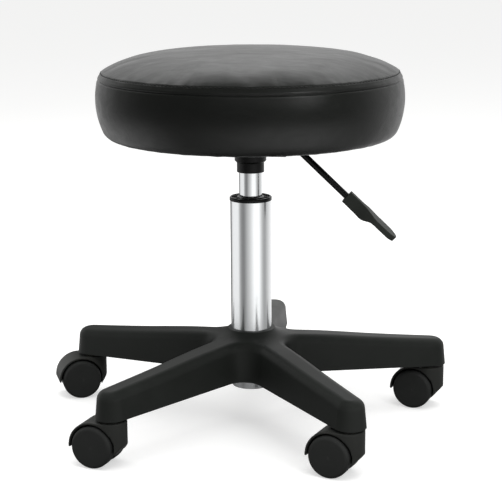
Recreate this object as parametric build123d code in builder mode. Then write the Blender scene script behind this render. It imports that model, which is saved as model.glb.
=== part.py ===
from build123d import *
import math
import os

# Adjustable swivel stool: padded seat, gas lift and five-arm caster base. Millimetres.
# Origin on the floor under the column axis, +Z up. The back arm of the base points along +Y
# and the height lever points along +X. The seat is modelled at its lowest height.

os.makedirs("parts", exist_ok=True)

# ---- general fits ----
RUNNING_FIT = 0.05          # radial clearance of a shaft turning or sliding in a bore
FACE_GAP = 0.3              # gap between faces of bodies that move past each other
OVERCUT = 1.0               # how far a cutting shape runs past the face it opens

# ---- casters ----
CASTER_COUNT = 5
FIRST_ARM_ANGLE = 90.0      # the back arm
CASTER_CIRCLE = 232.0       # radius of the circle through the caster stems
CASTER_HEADINGS = (170.0, 202.5, 166.1, 161.6, 165.0)   # trail direction of each caster at rest
WHEEL_RADIUS = 25.0
WHEEL_INNER_FACE = 7.5      # distance of a wheel's inner face from the caster's middle plane
WHEEL_OUTER_FACE = 22.0
WHEEL_EDGE = 4.5            # rounding between tread and face
WHEEL_RIM = 4.0             # wall under the tread
WHEEL_HUB = 6.5
WHEEL_FACE_WALL = 2.2
WHEEL_FACE_CROWN = 0.4      # rise of the outer face at its middle
WHEEL_HUB_STEP = 0.5        # the hub's end stands back from the rim's
WHEEL_CHAMFER = 1.0         # inner edge of the tread
CASTER_TRAIL = 18.0         # stem axis to axle
AXLE_RADIUS = 3.0
HOOD_WALL = 2.5
HOOD_WHEEL_GAP = 2.0
HOOD_HALF_WIDTH = 19.0
HOOD_WEB_HALF = 7.0         # half thickness of the web between the wheels
HOOD_NOSE = 17.5            # radius of the hood's body round the stem
HOOD_CROWN = 0.3            # hood's top above the wheel's cover
HOOD_CORNER_RISE = 2.5      # nose's lower corner above the axle
HOOD_CORNER = 6.0
HOOD_SKIRT = 2.0            # how far the hood's end reaches below the axle
HOOD_FOOT_BACK = 3.0        # foot of the stem's boss, behind the stem
HOOD_NOSE_START = 2.0       # where the nose's rounding starts, along the trail
AXLE_BOSS = 7.0
PIN_RADIUS = 4.0            # lower part of the stem, in the hood
PIN_BELOW_AXLE = 1.0
PIN_END_GAP = 0.5
STEM_RADIUS = 5.5           # upper part of the stem, in the base
STEM_FLANGE = 9.0
STEM_FLANGE_THICKNESS = 2.9
FLANGE_POCKET_GAP = 0.5
STEM_HEIGHT = 28.0          # the stem's hole above the arm's underside
STEM_END_GAP = 1.0
GRIP_RING_HEIGHT = 12.0
GRIP_RING_WALL = 1.0
GRIP_RING_SLIT = 1.5

# ---- base moulding ----
ARM_TIP_HEIGHT = 33.5
ARM_RISE_BELOW = 4.0        # underside's rise from tip to hub
ARM_RISE_ABOVE = 15.5       # top's rise from tip to hub
TIP_RADIUS = 19.5           # plan radius of the arm's end at its lower rim
ARM_ROOT_HALF = 25.5        # half width that the arm's sides reach at the column axis
CROTCH_RADIUS = 20.0        # plan rounding between neighbouring arms
WALL_DRAFT = 5.5            # degrees
ARM_EDGE = 11.0             # rounding along the arms' top edges
BASE_WALL = 3.5
HUB_DROP = 4.0              # the hub's end below the arm tips' underside
HUB_RISE = 11.0             # collar's top above the arms
HUB_LIP_WALL = 4.0          # collar round the tube
HUB_SWEEP_RADIUS = 66.0     # where the arms' tops start to rise to the collar
CREST_RISE = (-0.55, 0.83)  # direction in which the tops meet the collar
CREST_SWELL = 0.6           # rise of the tops where the sweep starts
SLEEVE_WALL = 6.0
SLEEVE_FOOT = 2.0           # spread of the sleeve above its end
RIB_THICKNESS = 3.0
RIB_POSITIONS = (85.0, 125.0, 165.0, 200.0)
STEM_BOSS_WALL = 4.0

# ---- gas lift ----
TUBE_RADIUS = 25.0
TUBE_TAPER = 1.0            # less radius at the hub's underside
TUBE_WALL = 2.0
TUBE_BELOW_HUB = 10.0
TUBE_RECESS = 4.0
TUBE_END_WALL = 3.0
TUBE_ABOVE_HUB = 160.7
BUSH_COLLAR_OVERHANG = 0.8
BUSH_COLLAR_HEIGHT = 4.3
BUSH_COLLAR_CHAMFER = 0.9
BUSH_RIM_WALL = 2.2         # raised rim of the collar
BUSH_INNER_WALL = 2.4       # raised ring round the rising tube
BUSH_RECESS = 2.6           # depth of the ribbed recess between them
BUSH_RIB_COUNT = 12
BUSH_RIB_THICKNESS = 1.6
BUSH_SLEEVE = 85.0
CYLINDER_RADIUS = 14.0
CYLINDER_WALL = 1.8
CYLINDER_FLOOR = 30.0       # rising tube's end above the outer tube's end
CYLINDER_SHOWN = 30.5       # between bush and socket at the lowest height
CONE_LENGTH = 21.5
CONE_TAPER = 0.8
LIFT_TRAVEL = 120.0
ROD_RADIUS = 5.0
ROD_NECK_RADIUS = 4.0
ROD_HOLE_GAP = 2.0          # round the neck in the tube's end wall
ROD_END_RECESS = 0.8        # the rod's end above the tube's end
ROD_RIVET_HEIGHT = 2.5      # spread end that holds the piston
RACE_RADIUS = 14.0
RACE_THICKNESS = 1.5
BALL_RADIUS = 2.0
BALL_COUNT = 10
BALL_CIRCLE = 9.5
BALL_GAP = 0.02
CAGE_THICKNESS = 1.6
CAGE_EDGE = 1.0             # the cage stands back from the races' edge
CAGE_BORE_GAP = 1.5
CAGE_BALL_GAP = 0.1
BUMPER_HEIGHT = 12.0
BUMPER_RADIUS = 12.0
WASHER_RADIUS = 11.0
WASHER_THICKNESS = 1.2
WASHER_GAP = 0.1
CLIP_RADIUS = 8.0
CLIP_THICKNESS = 1.4
CLIP_SLOT = 3.0             # opening that slides over the rod
GUIDE_HEIGHT = 18.0
SEAL_HEIGHT = 6.0
SEAL_RADIUS = 9.0
INNER_TUBE_RADIUS = 11.0
INNER_TUBE_WALL = 1.0
VALVE_HEIGHT = 35.0
PISTON_HEIGHT = 14.0
PISTON_OVERRUN = 28.0       # spare length of tube below the piston at full height
PISTON_RING_HEIGHT = 5.0
PISTON_RING_DEPTH = 2.0
RELEASE_PIN_RADIUS = 4.0
RELEASE_PIN_LENGTH = 33.0
RELEASE_PIN_TIP = 2.0       # rounding of its end

# ---- seat mechanism ----
SOCKET_WALL = 2.6
SOCKET_STEP_HEIGHT = 11.5   # lower part of the socket, below its step
SOCKET_UPPER_WALL = 5.3
SOCKET_FLARE = 2.5
SOCKET_LIP = 2.0            # its top above the rising tube's end
HOUSING_GAP = 1.0           # housing's floor above the rising tube's end
HOUSING_DEPTH = 21.8        # housing's floor to the seat's underside
HOUSING_WALL = 2.0
HOUSING_WIDTH = 52.0
HOUSING_LEFT = -46.0
HOUSING_RIGHT = 46.0
PLATE_SIZE = 150.0
PLATE_THICKNESS = 3.0
PLATE_CORNER = 12.0
BOLT_SPACING = 114.0
BOLT_RADIUS = 3.0
BOLT_HOLE_RADIUS = 3.3
BOLT_HEAD_RADIUS = 5.5
BOLT_HEAD_HEIGHT = 4.0
BOLT_LENGTH = 16.0
SPRING_WASHER_RADIUS = 5.6
SPRING_WASHER_THICKNESS = 1.6
TEE_NUT_BARREL = 4.2
TEE_NUT_FLANGE = 9.5
TEE_NUT_FLANGE_THICKNESS = 1.2
TEE_NUT_DEPTH = 9.0

# ---- lever ----
LEVER_RADIUS = 4.0
LEVER_AXIS_RISE = 7.5       # above the housing's floor
LEVER_PIVOT_X = 30.0
LEVER_TIP_X = -6.0
LEVER_BEND_X = 55.8
LEVER_BEND_RADIUS = 9.0
LEVER_DROOP = 43.5          # degrees below level
LEVER_SLOPE_LENGTH = 84.5   # along the sloping part, from the bend to the paddle
PADDLE_GRIP = 24.0          # length of rod inside the paddle
PADDLE_BLOCK_END = 3.0      # block past the rod's end
PADDLE_NECK = 20.0          # block to blade
PADDLE_FLARE = 3.0          # the blade reaches its full width this far past the neck
PADDLE_LENGTH = 78.0
PADDLE_BLOCK_HALF = 8.0
PADDLE_BLOCK_WIDTH = 11.0
PADDLE_BLADE_WIDTH = 30.0
PADDLE_BLADE_TOP = 6.5
PADDLE_BLADE_THICKNESS = 7.0
PIVOT_PIN_RADIUS = 2.5
PIVOT_BOSS_RADIUS = 5.2
PIVOT_BOSS_HALF = 6.0
PIVOT_PIN_END = 2.0         # pin past the housing's wall
PIVOT_HEAD = 1.5
PIVOT_CLIP_THICKNESS = 1.0
PIVOT_CLIP_RADIUS = 5.0

# ---- seat ----
SEAT_RADIUS = 185.5
SEAT_THICKNESS = 105.7      # underside to the crown
WIDEST_RISE = 53.0          # underside to the widest level
SIDE_RISE = 26.0            # a point of the lower side, and its inset from the widest
SIDE_INSET = 2.2
SHOULDER_RISE = 7.5         # a point of the lower rounding, and its inset
SHOULDER_INSET = 8.5
SEAM_DROP = 36.0            # crown to the band seam, and the seam's inset
SEAM_INSET = 3.0
WELT_DROP = 27.5            # crown to the topstitched line, and its inset
WELT_INSET = 6.5
TOP_DROP = 14.0             # crown to a point of the top panel, and its inset
TOP_INSET = 35.5
DOME_DROP = 3.5
DOME_INSET = 105.5
CROWN_EASE_DROP = 0.6       # a point near the middle, which keeps the crown flat
CROWN_EASE_INSET = 150.5
COVER_THICKNESS = 1.2
COVER_LIP_RADIUS = 145.0    # inner edge of the turned-under cover
LOWER_EDGE_INSET = 21.5     # where the underside starts to round up
BOARD_INSET = 24.0
BOARD_THICKNESS = 12.0
DUST_COVER_RADIUS = 156.0
DUST_COVER_THICKNESS = 0.6
STAPLE_COUNT = 28
STAPLE_CIRCLE = 151.0
STAPLE_CROWN = 10.0
STAPLE_WIRE = 0.8
STAPLE_LEG = 6.0

# ---- heights and radii that follow ----
ARM_STEP = 360.0 / CASTER_COUNT
HOOD_INNER = WHEEL_RADIUS + HOOD_WHEEL_GAP
HOOD_OUTER = HOOD_INNER + HOOD_WALL
HOOD_TOP = WHEEL_RADIUS + HOOD_OUTER + HOOD_CROWN
HOOD_CORNER_DROP = WHEEL_RADIUS + HOOD_CORNER_RISE
PIN_BOTTOM = WHEEL_RADIUS - PIN_BELOW_AXLE
ARM_TIP_BOTTOM = HOOD_TOP + FACE_GAP + STEM_FLANGE_THICKNESS
ARM_HUB_BOTTOM = ARM_TIP_BOTTOM + ARM_RISE_BELOW
ARM_TIP_TOP = ARM_TIP_BOTTOM + ARM_TIP_HEIGHT
ARM_HUB_TOP = ARM_TIP_TOP + ARM_RISE_ABOVE
STEM_TOP = ARM_TIP_BOTTOM + STEM_HEIGHT
HUB_BOTTOM = ARM_TIP_BOTTOM - HUB_DROP
HUB_TOP = ARM_HUB_TOP + HUB_RISE
HUB_LIP = TUBE_RADIUS + HUB_LIP_WALL
TUBE_TAPER_RADIUS = TUBE_RADIUS - TUBE_TAPER
TUBE_BOTTOM = HUB_BOTTOM - TUBE_BELOW_HUB
TUBE_TOP = HUB_TOP + TUBE_ABOVE_HUB
BUSH_COLLAR_RADIUS = TUBE_RADIUS + BUSH_COLLAR_OVERHANG
COLLAR_TOP = TUBE_TOP + BUSH_COLLAR_HEIGHT
CYLINDER_BOTTOM = TUBE_BOTTOM + CYLINDER_FLOOR
CONE_TOP_RADIUS = CYLINDER_RADIUS - CONE_TAPER
SOCKET_BOTTOM = COLLAR_TOP + CYLINDER_SHOWN
SOCKET_RADIUS = CYLINDER_RADIUS + SOCKET_WALL
SOCKET_UPPER_RADIUS = CYLINDER_RADIUS + SOCKET_UPPER_WALL
SOCKET_STEP = SOCKET_BOTTOM + SOCKET_STEP_HEIGHT
CYLINDER_TOP = SOCKET_BOTTOM + CONE_LENGTH
VALVE_BOTTOM = CYLINDER_TOP - VALVE_HEIGHT
HOUSING_BOTTOM = CYLINDER_TOP + HOUSING_GAP
LEVER_AXIS_HEIGHT = HOUSING_BOTTOM + LEVER_AXIS_RISE
SEAT_BOTTOM = HOUSING_BOTTOM + HOUSING_DEPTH
BOARD_BOTTOM = SEAT_BOTTOM + COVER_THICKNESS
BOARD_TOP = BOARD_BOTTOM + BOARD_THICKNESS
PLATE_TOP = BOARD_BOTTOM - DUST_COVER_THICKNESS
SEAT_CROWN = SEAT_BOTTOM + SEAT_THICKNESS
BOARD_RADIUS = SEAT_RADIUS - BOARD_INSET
PLATE_BOTTOM = PLATE_TOP - PLATE_THICKNESS
TUBE_INNER = TUBE_RADIUS - TUBE_WALL
TUBE_FLOOR = TUBE_BOTTOM + TUBE_RECESS + TUBE_END_WALL
RACE_TOP = TUBE_FLOOR + RACE_THICKNESS
BALL_HEIGHT = RACE_TOP + BALL_GAP + BALL_RADIUS
UPPER_RACE_BOTTOM = BALL_HEIGHT + BALL_RADIUS + BALL_GAP
ROD_SHOULDER = UPPER_RACE_BOTTOM + RACE_THICKNESS
CYLINDER_INNER = CYLINDER_RADIUS - CYLINDER_WALL
INNER_TUBE_BORE = INNER_TUBE_RADIUS - INNER_TUBE_WALL
LEVER_UNDERSIDE = LEVER_AXIS_HEIGHT - LEVER_RADIUS
PIN_TOP = LEVER_UNDERSIDE - FACE_GAP
PISTON_TOP = CYLINDER_BOTTOM + GUIDE_HEIGHT + LIFT_TRAVEL + PISTON_OVERRUN + PISTON_HEIGHT


def save(piece, name):
    piece.label = name
    export_step(piece, "parts/" + name + ".step")


def disc(radius, bottom, top):
    """A plain disc about the column axis."""
    with BuildPart() as turned:
        with BuildSketch(Plane.XY.offset(bottom)):
            Circle(radius)
        extrude(amount=top - bottom)
    return turned.part


def ring(inner, outer, bottom, top):
    """A plain turned ring or tube about the column axis."""
    with BuildPart() as turned:
        add(disc(outer, bottom, top))
        add(disc(inner, bottom, top), mode=Mode.SUBTRACT)
    return turned.part


def turned_profile(points):
    """A solid turned about the column axis from (radius, height) corners."""
    with BuildPart() as turned:
        with BuildSketch(Plane.XZ):
            with BuildLine():
                Polyline(*points, close=True)
            make_face()
        revolve(axis=Axis.Z)
    return turned.part


def arm_angle(index):
    return FIRST_ARM_ANGLE + index * ARM_STEP


# ---------------------------------------------------------------- base moulding
def star_plan(inset):
    """Plan of five tapering arms with round ends, just below the hub's underside."""
    root_half = ARM_ROOT_HALF - inset
    tip_radius = TIP_RADIUS - inset
    lean = math.asin((root_half - tip_radius) / CASTER_CIRCLE)
    flank = [
        (root_half * math.sin(lean), root_half * math.cos(lean)),
        (CASTER_CIRCLE + tip_radius * math.sin(lean), tip_radius * math.cos(lean)),
    ]
    opposite = [(x, -y) for x, y in flank]
    with BuildSketch(Plane.XY.offset(HUB_BOTTOM - OVERCUT)) as plan:
        with PolarLocations(0, CASTER_COUNT, start_angle=FIRST_ARM_ANGLE):
            Polygon(*opposite, *reversed(flank), align=None)
        with PolarLocations(CASTER_CIRCLE, CASTER_COUNT, start_angle=FIRST_ARM_ANGLE):
            Circle(tip_radius)
        Circle(root_half)
        crotches = plan.vertices().filter_by(lambda v: math.hypot(v.X, v.Y) < 3 * ARM_ROOT_HALF)
        fillet(crotches, CROTCH_RADIUS + inset)
    return plan.sketch


def crest_profile(inset):
    """Side outline of arm and hub from the axis to past the tip, turned towards a crotch."""
    past_tip = CASTER_CIRCLE + TIP_RADIUS + OVERCUT
    fall = (ARM_HUB_TOP - ARM_TIP_TOP) / (CASTER_CIRCLE - HUB_SWEEP_RADIUS)
    rise = (ARM_HUB_BOTTOM - ARM_TIP_BOTTOM) / (CASTER_CIRCLE - HUB_SWEEP_RADIUS)
    end_top = ARM_HUB_TOP - fall * (past_tip - HUB_SWEEP_RADIUS) - inset
    middle = (CASTER_CIRCLE + HUB_SWEEP_RADIUS) / 2
    middle_top = (ARM_HUB_TOP + ARM_TIP_TOP) / 2 - inset
    end_bottom = ARM_HUB_BOTTOM - rise * (past_tip - HUB_SWEEP_RADIUS)
    sleeve = TUBE_TAPER_RADIUS + SLEEVE_WALL
    bottom_line = [(sleeve, HUB_BOTTOM), (sleeve + SLEEVE_FOOT, ARM_HUB_BOTTOM),
                   (HUB_SWEEP_RADIUS, ARM_HUB_BOTTOM), (past_tip, end_bottom)]
    if inset:
        bottom_line = [(past_tip, HUB_BOTTOM)]
    crotch_angle = math.radians(FIRST_ARM_ANGLE - ARM_STEP / 2)
    towards_crotch = Plane(origin=(0, 0, 0),
                           x_dir=(math.cos(crotch_angle), math.sin(crotch_angle), 0),
                           z_dir=(math.sin(crotch_angle), -math.cos(crotch_angle), 0))
    with BuildSketch(towards_crotch) as side:
        with BuildLine():
            crest = Spline((past_tip, end_top), (middle, middle_top),
                           (HUB_SWEEP_RADIUS, ARM_HUB_TOP + CREST_SWELL - inset),
                           (HUB_LIP, HUB_TOP - inset), tangents=((-1, fall), CREST_RISE))
            Polyline(crest @ 1, (0, HUB_TOP - inset), (0, HUB_BOTTOM), *bottom_line, crest @ 0)
        make_face()
    return side.sketch


def star_body(inset):
    """The star's outer form, or with a wall's inset the form of the hollow inside it."""
    with BuildPart() as body:
        add(star_plan(inset))
        extrude(amount=HUB_TOP - HUB_BOTTOM + 2 * OVERCUT, taper=WALL_DRAFT)
        add(crest_profile(inset))
        revolve(axis=Axis.Z, mode=Mode.INTERSECT)
        upright = body.edges().filter_by(GeomType.LINE) + body.edges().filter_by(GeomType.CIRCLE)
        high = body.edges().filter_by(lambda e: e.bounding_box().min.Z > ARM_TIP_TOP - 2 * BASE_WALL)
        fillet(high - upright, ARM_EDGE - inset)
    return body.part


def base_cavity():
    """The hollow under the arms, with the ribs, sleeve and stem bosses left standing."""
    with BuildPart() as cavity:
        add(star_body(BASE_WALL))
        with BuildSketch(Plane.XY.offset(HUB_BOTTOM - OVERCUT)):
            Circle(TUBE_RADIUS + SLEEVE_WALL)
            with PolarLocations(CASTER_CIRCLE / 2, CASTER_COUNT, start_angle=FIRST_ARM_ANGLE):
                Rectangle(CASTER_CIRCLE, RIB_THICKNESS)
            for position in RIB_POSITIONS:
                with PolarLocations(position, CASTER_COUNT, start_angle=FIRST_ARM_ANGLE):
                    Rectangle(RIB_THICKNESS, 2 * ARM_ROOT_HALF)
            with PolarLocations(CASTER_CIRCLE, CASTER_COUNT, start_angle=FIRST_ARM_ANGLE):
                Circle(STEM_RADIUS + GRIP_RING_WALL + STEM_BOSS_WALL)
        extrude(amount=HUB_TOP - HUB_BOTTOM + 2 * OVERCUT, mode=Mode.SUBTRACT)
    return cavity.part


def tube_outside():
    """Outside of the lift's tube: straight above the hub, tapered inside it, straight below."""
    return turned_profile([(0, TUBE_BOTTOM), (TUBE_TAPER_RADIUS, TUBE_BOTTOM),
                           (TUBE_TAPER_RADIUS, HUB_BOTTOM), (TUBE_RADIUS, HUB_TOP),
                           (TUBE_RADIUS, TUBE_TOP), (0, TUBE_TOP)])


def make_star_base():
    with BuildPart() as star_base:
        add(star_body(0.0))
        add(base_cavity(), mode=Mode.SUBTRACT)
        add(tube_outside(), mode=Mode.SUBTRACT)
        with BuildSketch(Plane.XY.offset(HUB_BOTTOM)):
            with PolarLocations(CASTER_CIRCLE, CASTER_COUNT, start_angle=FIRST_ARM_ANGLE):
                Circle(STEM_FLANGE + FLANGE_POCKET_GAP)
        extrude(amount=ARM_TIP_BOTTOM - HUB_BOTTOM, mode=Mode.SUBTRACT)
        with BuildSketch(Plane.XY.offset(ARM_TIP_BOTTOM)):
            with PolarLocations(CASTER_CIRCLE, CASTER_COUNT, start_angle=FIRST_ARM_ANGLE):
                Circle(STEM_RADIUS + GRIP_RING_WALL)
        extrude(amount=STEM_TOP - ARM_TIP_BOTTOM, mode=Mode.SUBTRACT)
    save(star_base.part, "star_base")


# ---------------------------------------------------------------- casters
CASTER_NAMES = ("back", "left", "front_left", "front_right", "right")


def caster_place(index):
    angle = math.radians(arm_angle(index))
    return Location((CASTER_CIRCLE * math.cos(angle), CASTER_CIRCLE * math.sin(angle), 0),
                    (0, 0, CASTER_HEADINGS[index]))


def make_stems():
    flange_bottom = HOOD_TOP + FACE_GAP
    with BuildPart() as caster_stems:
        with PolarLocations(CASTER_CIRCLE, CASTER_COUNT, start_angle=FIRST_ARM_ANGLE):
            add(turned_profile([(0, PIN_BOTTOM), (PIN_RADIUS, PIN_BOTTOM),
                                (PIN_RADIUS, flange_bottom), (STEM_FLANGE, flange_bottom),
                                (STEM_FLANGE, ARM_TIP_BOTTOM), (STEM_RADIUS, ARM_TIP_BOTTOM),
                                (STEM_RADIUS, STEM_TOP - STEM_END_GAP),
                                (0, STEM_TOP - STEM_END_GAP)]))
    save(caster_stems.part, "caster_stems")
    ring_bottom = (ARM_TIP_BOTTOM + STEM_TOP - GRIP_RING_HEIGHT) / 2
    with BuildPart() as grip_rings:
        with BuildSketch(Plane.XY.offset(ring_bottom)):
            with PolarLocations(CASTER_CIRCLE, CASTER_COUNT, start_angle=FIRST_ARM_ANGLE):
                Circle(STEM_RADIUS + GRIP_RING_WALL)
                Circle(STEM_RADIUS, mode=Mode.SUBTRACT)
            with PolarLocations(CASTER_CIRCLE + STEM_RADIUS, CASTER_COUNT,
                                start_angle=FIRST_ARM_ANGLE):
                Rectangle(3 * GRIP_RING_WALL, GRIP_RING_SLIT, mode=Mode.SUBTRACT)
        extrude(amount=GRIP_RING_HEIGHT)
    save(grip_rings.part, "grip_rings")


def hood_shape():
    """Hood with its trail along +X and the stem on the Z axis."""
    axle = (CASTER_TRAIL, WHEEL_RADIUS)
    arc_top = (CASTER_TRAIL, WHEEL_RADIUS + HOOD_OUTER)
    arc_end = (CASTER_TRAIL + HOOD_OUTER, WHEEL_RADIUS)
    arc_middle = (CASTER_TRAIL + HOOD_OUTER * math.sin(math.pi / 4),
                  WHEEL_RADIUS + HOOD_OUTER * math.cos(math.pi / 4))
    nose_foot = (-HOOD_NOSE, HOOD_CORNER_DROP)
    with BuildPart() as hood:
        with BuildSketch(Plane.XZ):
            with BuildLine():
                Line((-HOOD_NOSE, HOOD_TOP), arc_top)
                ThreePointArc(arc_top, arc_middle, arc_end)
                Polyline(arc_end, (arc_end[0], arc_end[1] - HOOD_SKIRT),
                         (arc_end[0] - HOOD_WALL, arc_end[1] - HOOD_SKIRT),
                         (axle[0] + AXLE_BOSS, axle[1] - AXLE_BOSS),
                         (axle[0] - AXLE_BOSS, axle[1] - AXLE_BOSS),
                         (0, axle[1] - 2 * AXLE_BOSS), (-HOOD_FOOT_BACK, axle[1] - 2 * AXLE_BOSS),
                         nose_foot, (-HOOD_NOSE, HOOD_TOP))
            face = make_face()
            corner = face.vertices().sort_by_distance((nose_foot[0], 0, nose_foot[1]))[0]
            fillet(corner, HOOD_CORNER)
        extrude(amount=HOOD_HALF_WIDTH, both=True)
        with BuildSketch():
            with BuildLine():
                nose = ThreePointArc((HOOD_NOSE_START, HOOD_HALF_WIDTH), (-HOOD_NOSE, 0),
                                     (HOOD_NOSE_START, -HOOD_HALF_WIDTH))
                Polyline(nose @ 1, (arc_end[0] + OVERCUT, -HOOD_HALF_WIDTH),
                         (arc_end[0] + OVERCUT, HOOD_HALF_WIDTH), nose @ 0)
            make_face()
        extrude(amount=HOOD_TOP + OVERCUT, mode=Mode.INTERSECT)
        for side in (1, -1):
            with BuildSketch(Plane.XZ.offset(-side * HOOD_WEB_HALF)):
                with Locations(axle):
                    Circle(HOOD_INNER)
            extrude(amount=-side * HOOD_HALF_WIDTH, mode=Mode.SUBTRACT)
        with BuildSketch(Plane.XY.offset(PIN_BOTTOM - PIN_END_GAP)):
            Circle(PIN_RADIUS + RUNNING_FIT)
        extrude(amount=HOOD_TOP, mode=Mode.SUBTRACT)
        with BuildSketch(Plane.XZ):
            with Locations(axle):
                Circle(AXLE_RADIUS)
        extrude(amount=HOOD_HALF_WIDTH, both=True, mode=Mode.SUBTRACT)
    return hood.part


def wheel_shape(side):
    """One wheel on the caster's axle; side is +1 or -1 across the trail."""
    bore = AXLE_RADIUS + RUNNING_FIT
    face_inside = WHEEL_OUTER_FACE - WHEEL_FACE_WALL
    hub_end = WHEEL_INNER_FACE + WHEEL_HUB_STEP
    pocket_end = face_inside - WHEEL_HUB_STEP
    rim_inside = WHEEL_RADIUS - WHEEL_RIM
    across = Plane(origin=(CASTER_TRAIL, 0, WHEEL_RADIUS), x_dir=(0, 0, 1), z_dir=(1, 0, 0))
    tread_edge = (WHEEL_RADIUS, side * (WHEEL_OUTER_FACE - WHEEL_EDGE))
    face_edge = (WHEEL_RADIUS - WHEEL_EDGE, side * WHEEL_OUTER_FACE)
    bend = WHEEL_EDGE * (1 - math.cos(math.pi / 4))
    edge_middle = (WHEEL_RADIUS - bend, side * (WHEEL_OUTER_FACE - bend))
    with BuildPart() as wheel:
        with BuildSketch(across):
            with BuildLine():
                ThreePointArc(tread_edge, edge_middle, face_edge)
                Polyline(face_edge, (0, side * (WHEEL_OUTER_FACE + WHEEL_FACE_CROWN)),
                         (0, side * face_inside), (bore, side * face_inside),
                         (bore, side * hub_end), (WHEEL_HUB, side * hub_end),
                         (WHEEL_HUB, side * pocket_end), (rim_inside, side * pocket_end),
                         (rim_inside, side * WHEEL_INNER_FACE),
                         (WHEEL_RADIUS - WHEEL_CHAMFER, side * WHEEL_INNER_FACE),
                         (WHEEL_RADIUS, side * (WHEEL_INNER_FACE + WHEEL_CHAMFER)), tread_edge)
            make_face()
        revolve(axis=Axis((CASTER_TRAIL, 0, WHEEL_RADIUS), (0, 1, 0)))
    return wheel.part


def axle_shape():
    half = WHEEL_OUTER_FACE - WHEEL_FACE_WALL - FACE_GAP
    with BuildPart() as axle:
        with BuildSketch(Plane.XZ):
            with Locations((CASTER_TRAIL, WHEEL_RADIUS)):
                Circle(AXLE_RADIUS)
        extrude(amount=half, both=True)
    return axle.part


def make_casters():
    hood, axle = hood_shape(), axle_shape()
    wheels = (wheel_shape(1), wheel_shape(-1))
    for index, place_name in enumerate(CASTER_NAMES):
        place = caster_place(index)
        save(hood.moved(place), "caster_hood_" + place_name)
        save(axle.moved(place), "axle_" + place_name)
        for number, wheel in enumerate(wheels, start=1):
            save(wheel.moved(place), f"wheel_{place_name}_{number}")


# ---------------------------------------------------------------- gas lift
def make_column():
    with BuildPart() as outer_tube:
        add(tube_outside())
        bore = TUBE_TAPER_RADIUS - TUBE_WALL
        add(turned_profile([(0, TUBE_FLOOR), (bore, TUBE_FLOOR), (bore, HUB_BOTTOM),
                            (TUBE_INNER, HUB_TOP), (TUBE_INNER, TUBE_TOP), (0, TUBE_TOP)]),
            mode=Mode.SUBTRACT)
        with BuildSketch(Plane.XY.offset(TUBE_BOTTOM)):
            Circle(bore)
        extrude(amount=TUBE_RECESS, mode=Mode.SUBTRACT)
        with BuildSketch(Plane.XY.offset(TUBE_BOTTOM)):
            Circle(ROD_NECK_RADIUS + ROD_HOLE_GAP)
        extrude(amount=TUBE_FLOOR - TUBE_BOTTOM, mode=Mode.SUBTRACT)
    save(outer_tube.part, "outer_tube")

    slide = CYLINDER_RADIUS + RUNNING_FIT
    with BuildPart() as guide_bush:
        add(turned_profile([(slide, TUBE_TOP - BUSH_SLEEVE), (TUBE_INNER, TUBE_TOP - BUSH_SLEEVE),
                            (TUBE_INNER, TUBE_TOP), (BUSH_COLLAR_RADIUS, TUBE_TOP),
                            (BUSH_COLLAR_RADIUS, COLLAR_TOP - BUSH_COLLAR_CHAMFER),
                            (BUSH_COLLAR_RADIUS - BUSH_COLLAR_CHAMFER, COLLAR_TOP),
                            (slide, COLLAR_TOP)]))
        with BuildSketch(Plane.XY.offset(COLLAR_TOP - BUSH_RECESS)):
            Circle(BUSH_COLLAR_RADIUS - BUSH_RIM_WALL)
            Circle(slide + BUSH_INNER_WALL, mode=Mode.SUBTRACT)
            with PolarLocations(TUBE_RADIUS, BUSH_RIB_COUNT):
                Rectangle(TUBE_RADIUS, BUSH_RIB_THICKNESS, mode=Mode.SUBTRACT)
        extrude(amount=BUSH_RECESS, mode=Mode.SUBTRACT)
    save(guide_bush.part, "guide_bush")

    neck_fit = ROD_NECK_RADIUS + RUNNING_FIT
    save(ring(neck_fit, RACE_RADIUS, TUBE_FLOOR, RACE_TOP), "lower_race")
    save(ring(ROD_NECK_RADIUS, RACE_RADIUS, UPPER_RACE_BOTTOM, ROD_SHOULDER), "upper_race")
    with BuildPart() as bearing_balls:
        with PolarLocations(BALL_CIRCLE, BALL_COUNT):
            with Locations((0, 0, BALL_HEIGHT)):
                Sphere(BALL_RADIUS)
    save(bearing_balls.part, "bearing_balls")
    with BuildPart() as ball_cage:
        with BuildSketch(Plane.XY.offset(BALL_HEIGHT - CAGE_THICKNESS / 2)):
            Circle(RACE_RADIUS - CAGE_EDGE)
            Circle(ROD_NECK_RADIUS + CAGE_BORE_GAP, mode=Mode.SUBTRACT)
            with PolarLocations(BALL_CIRCLE, BALL_COUNT):
                Circle(BALL_RADIUS + CAGE_BALL_GAP, mode=Mode.SUBTRACT)
        extrude(amount=CAGE_THICKNESS)
    save(ball_cage.part, "ball_cage")


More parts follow.
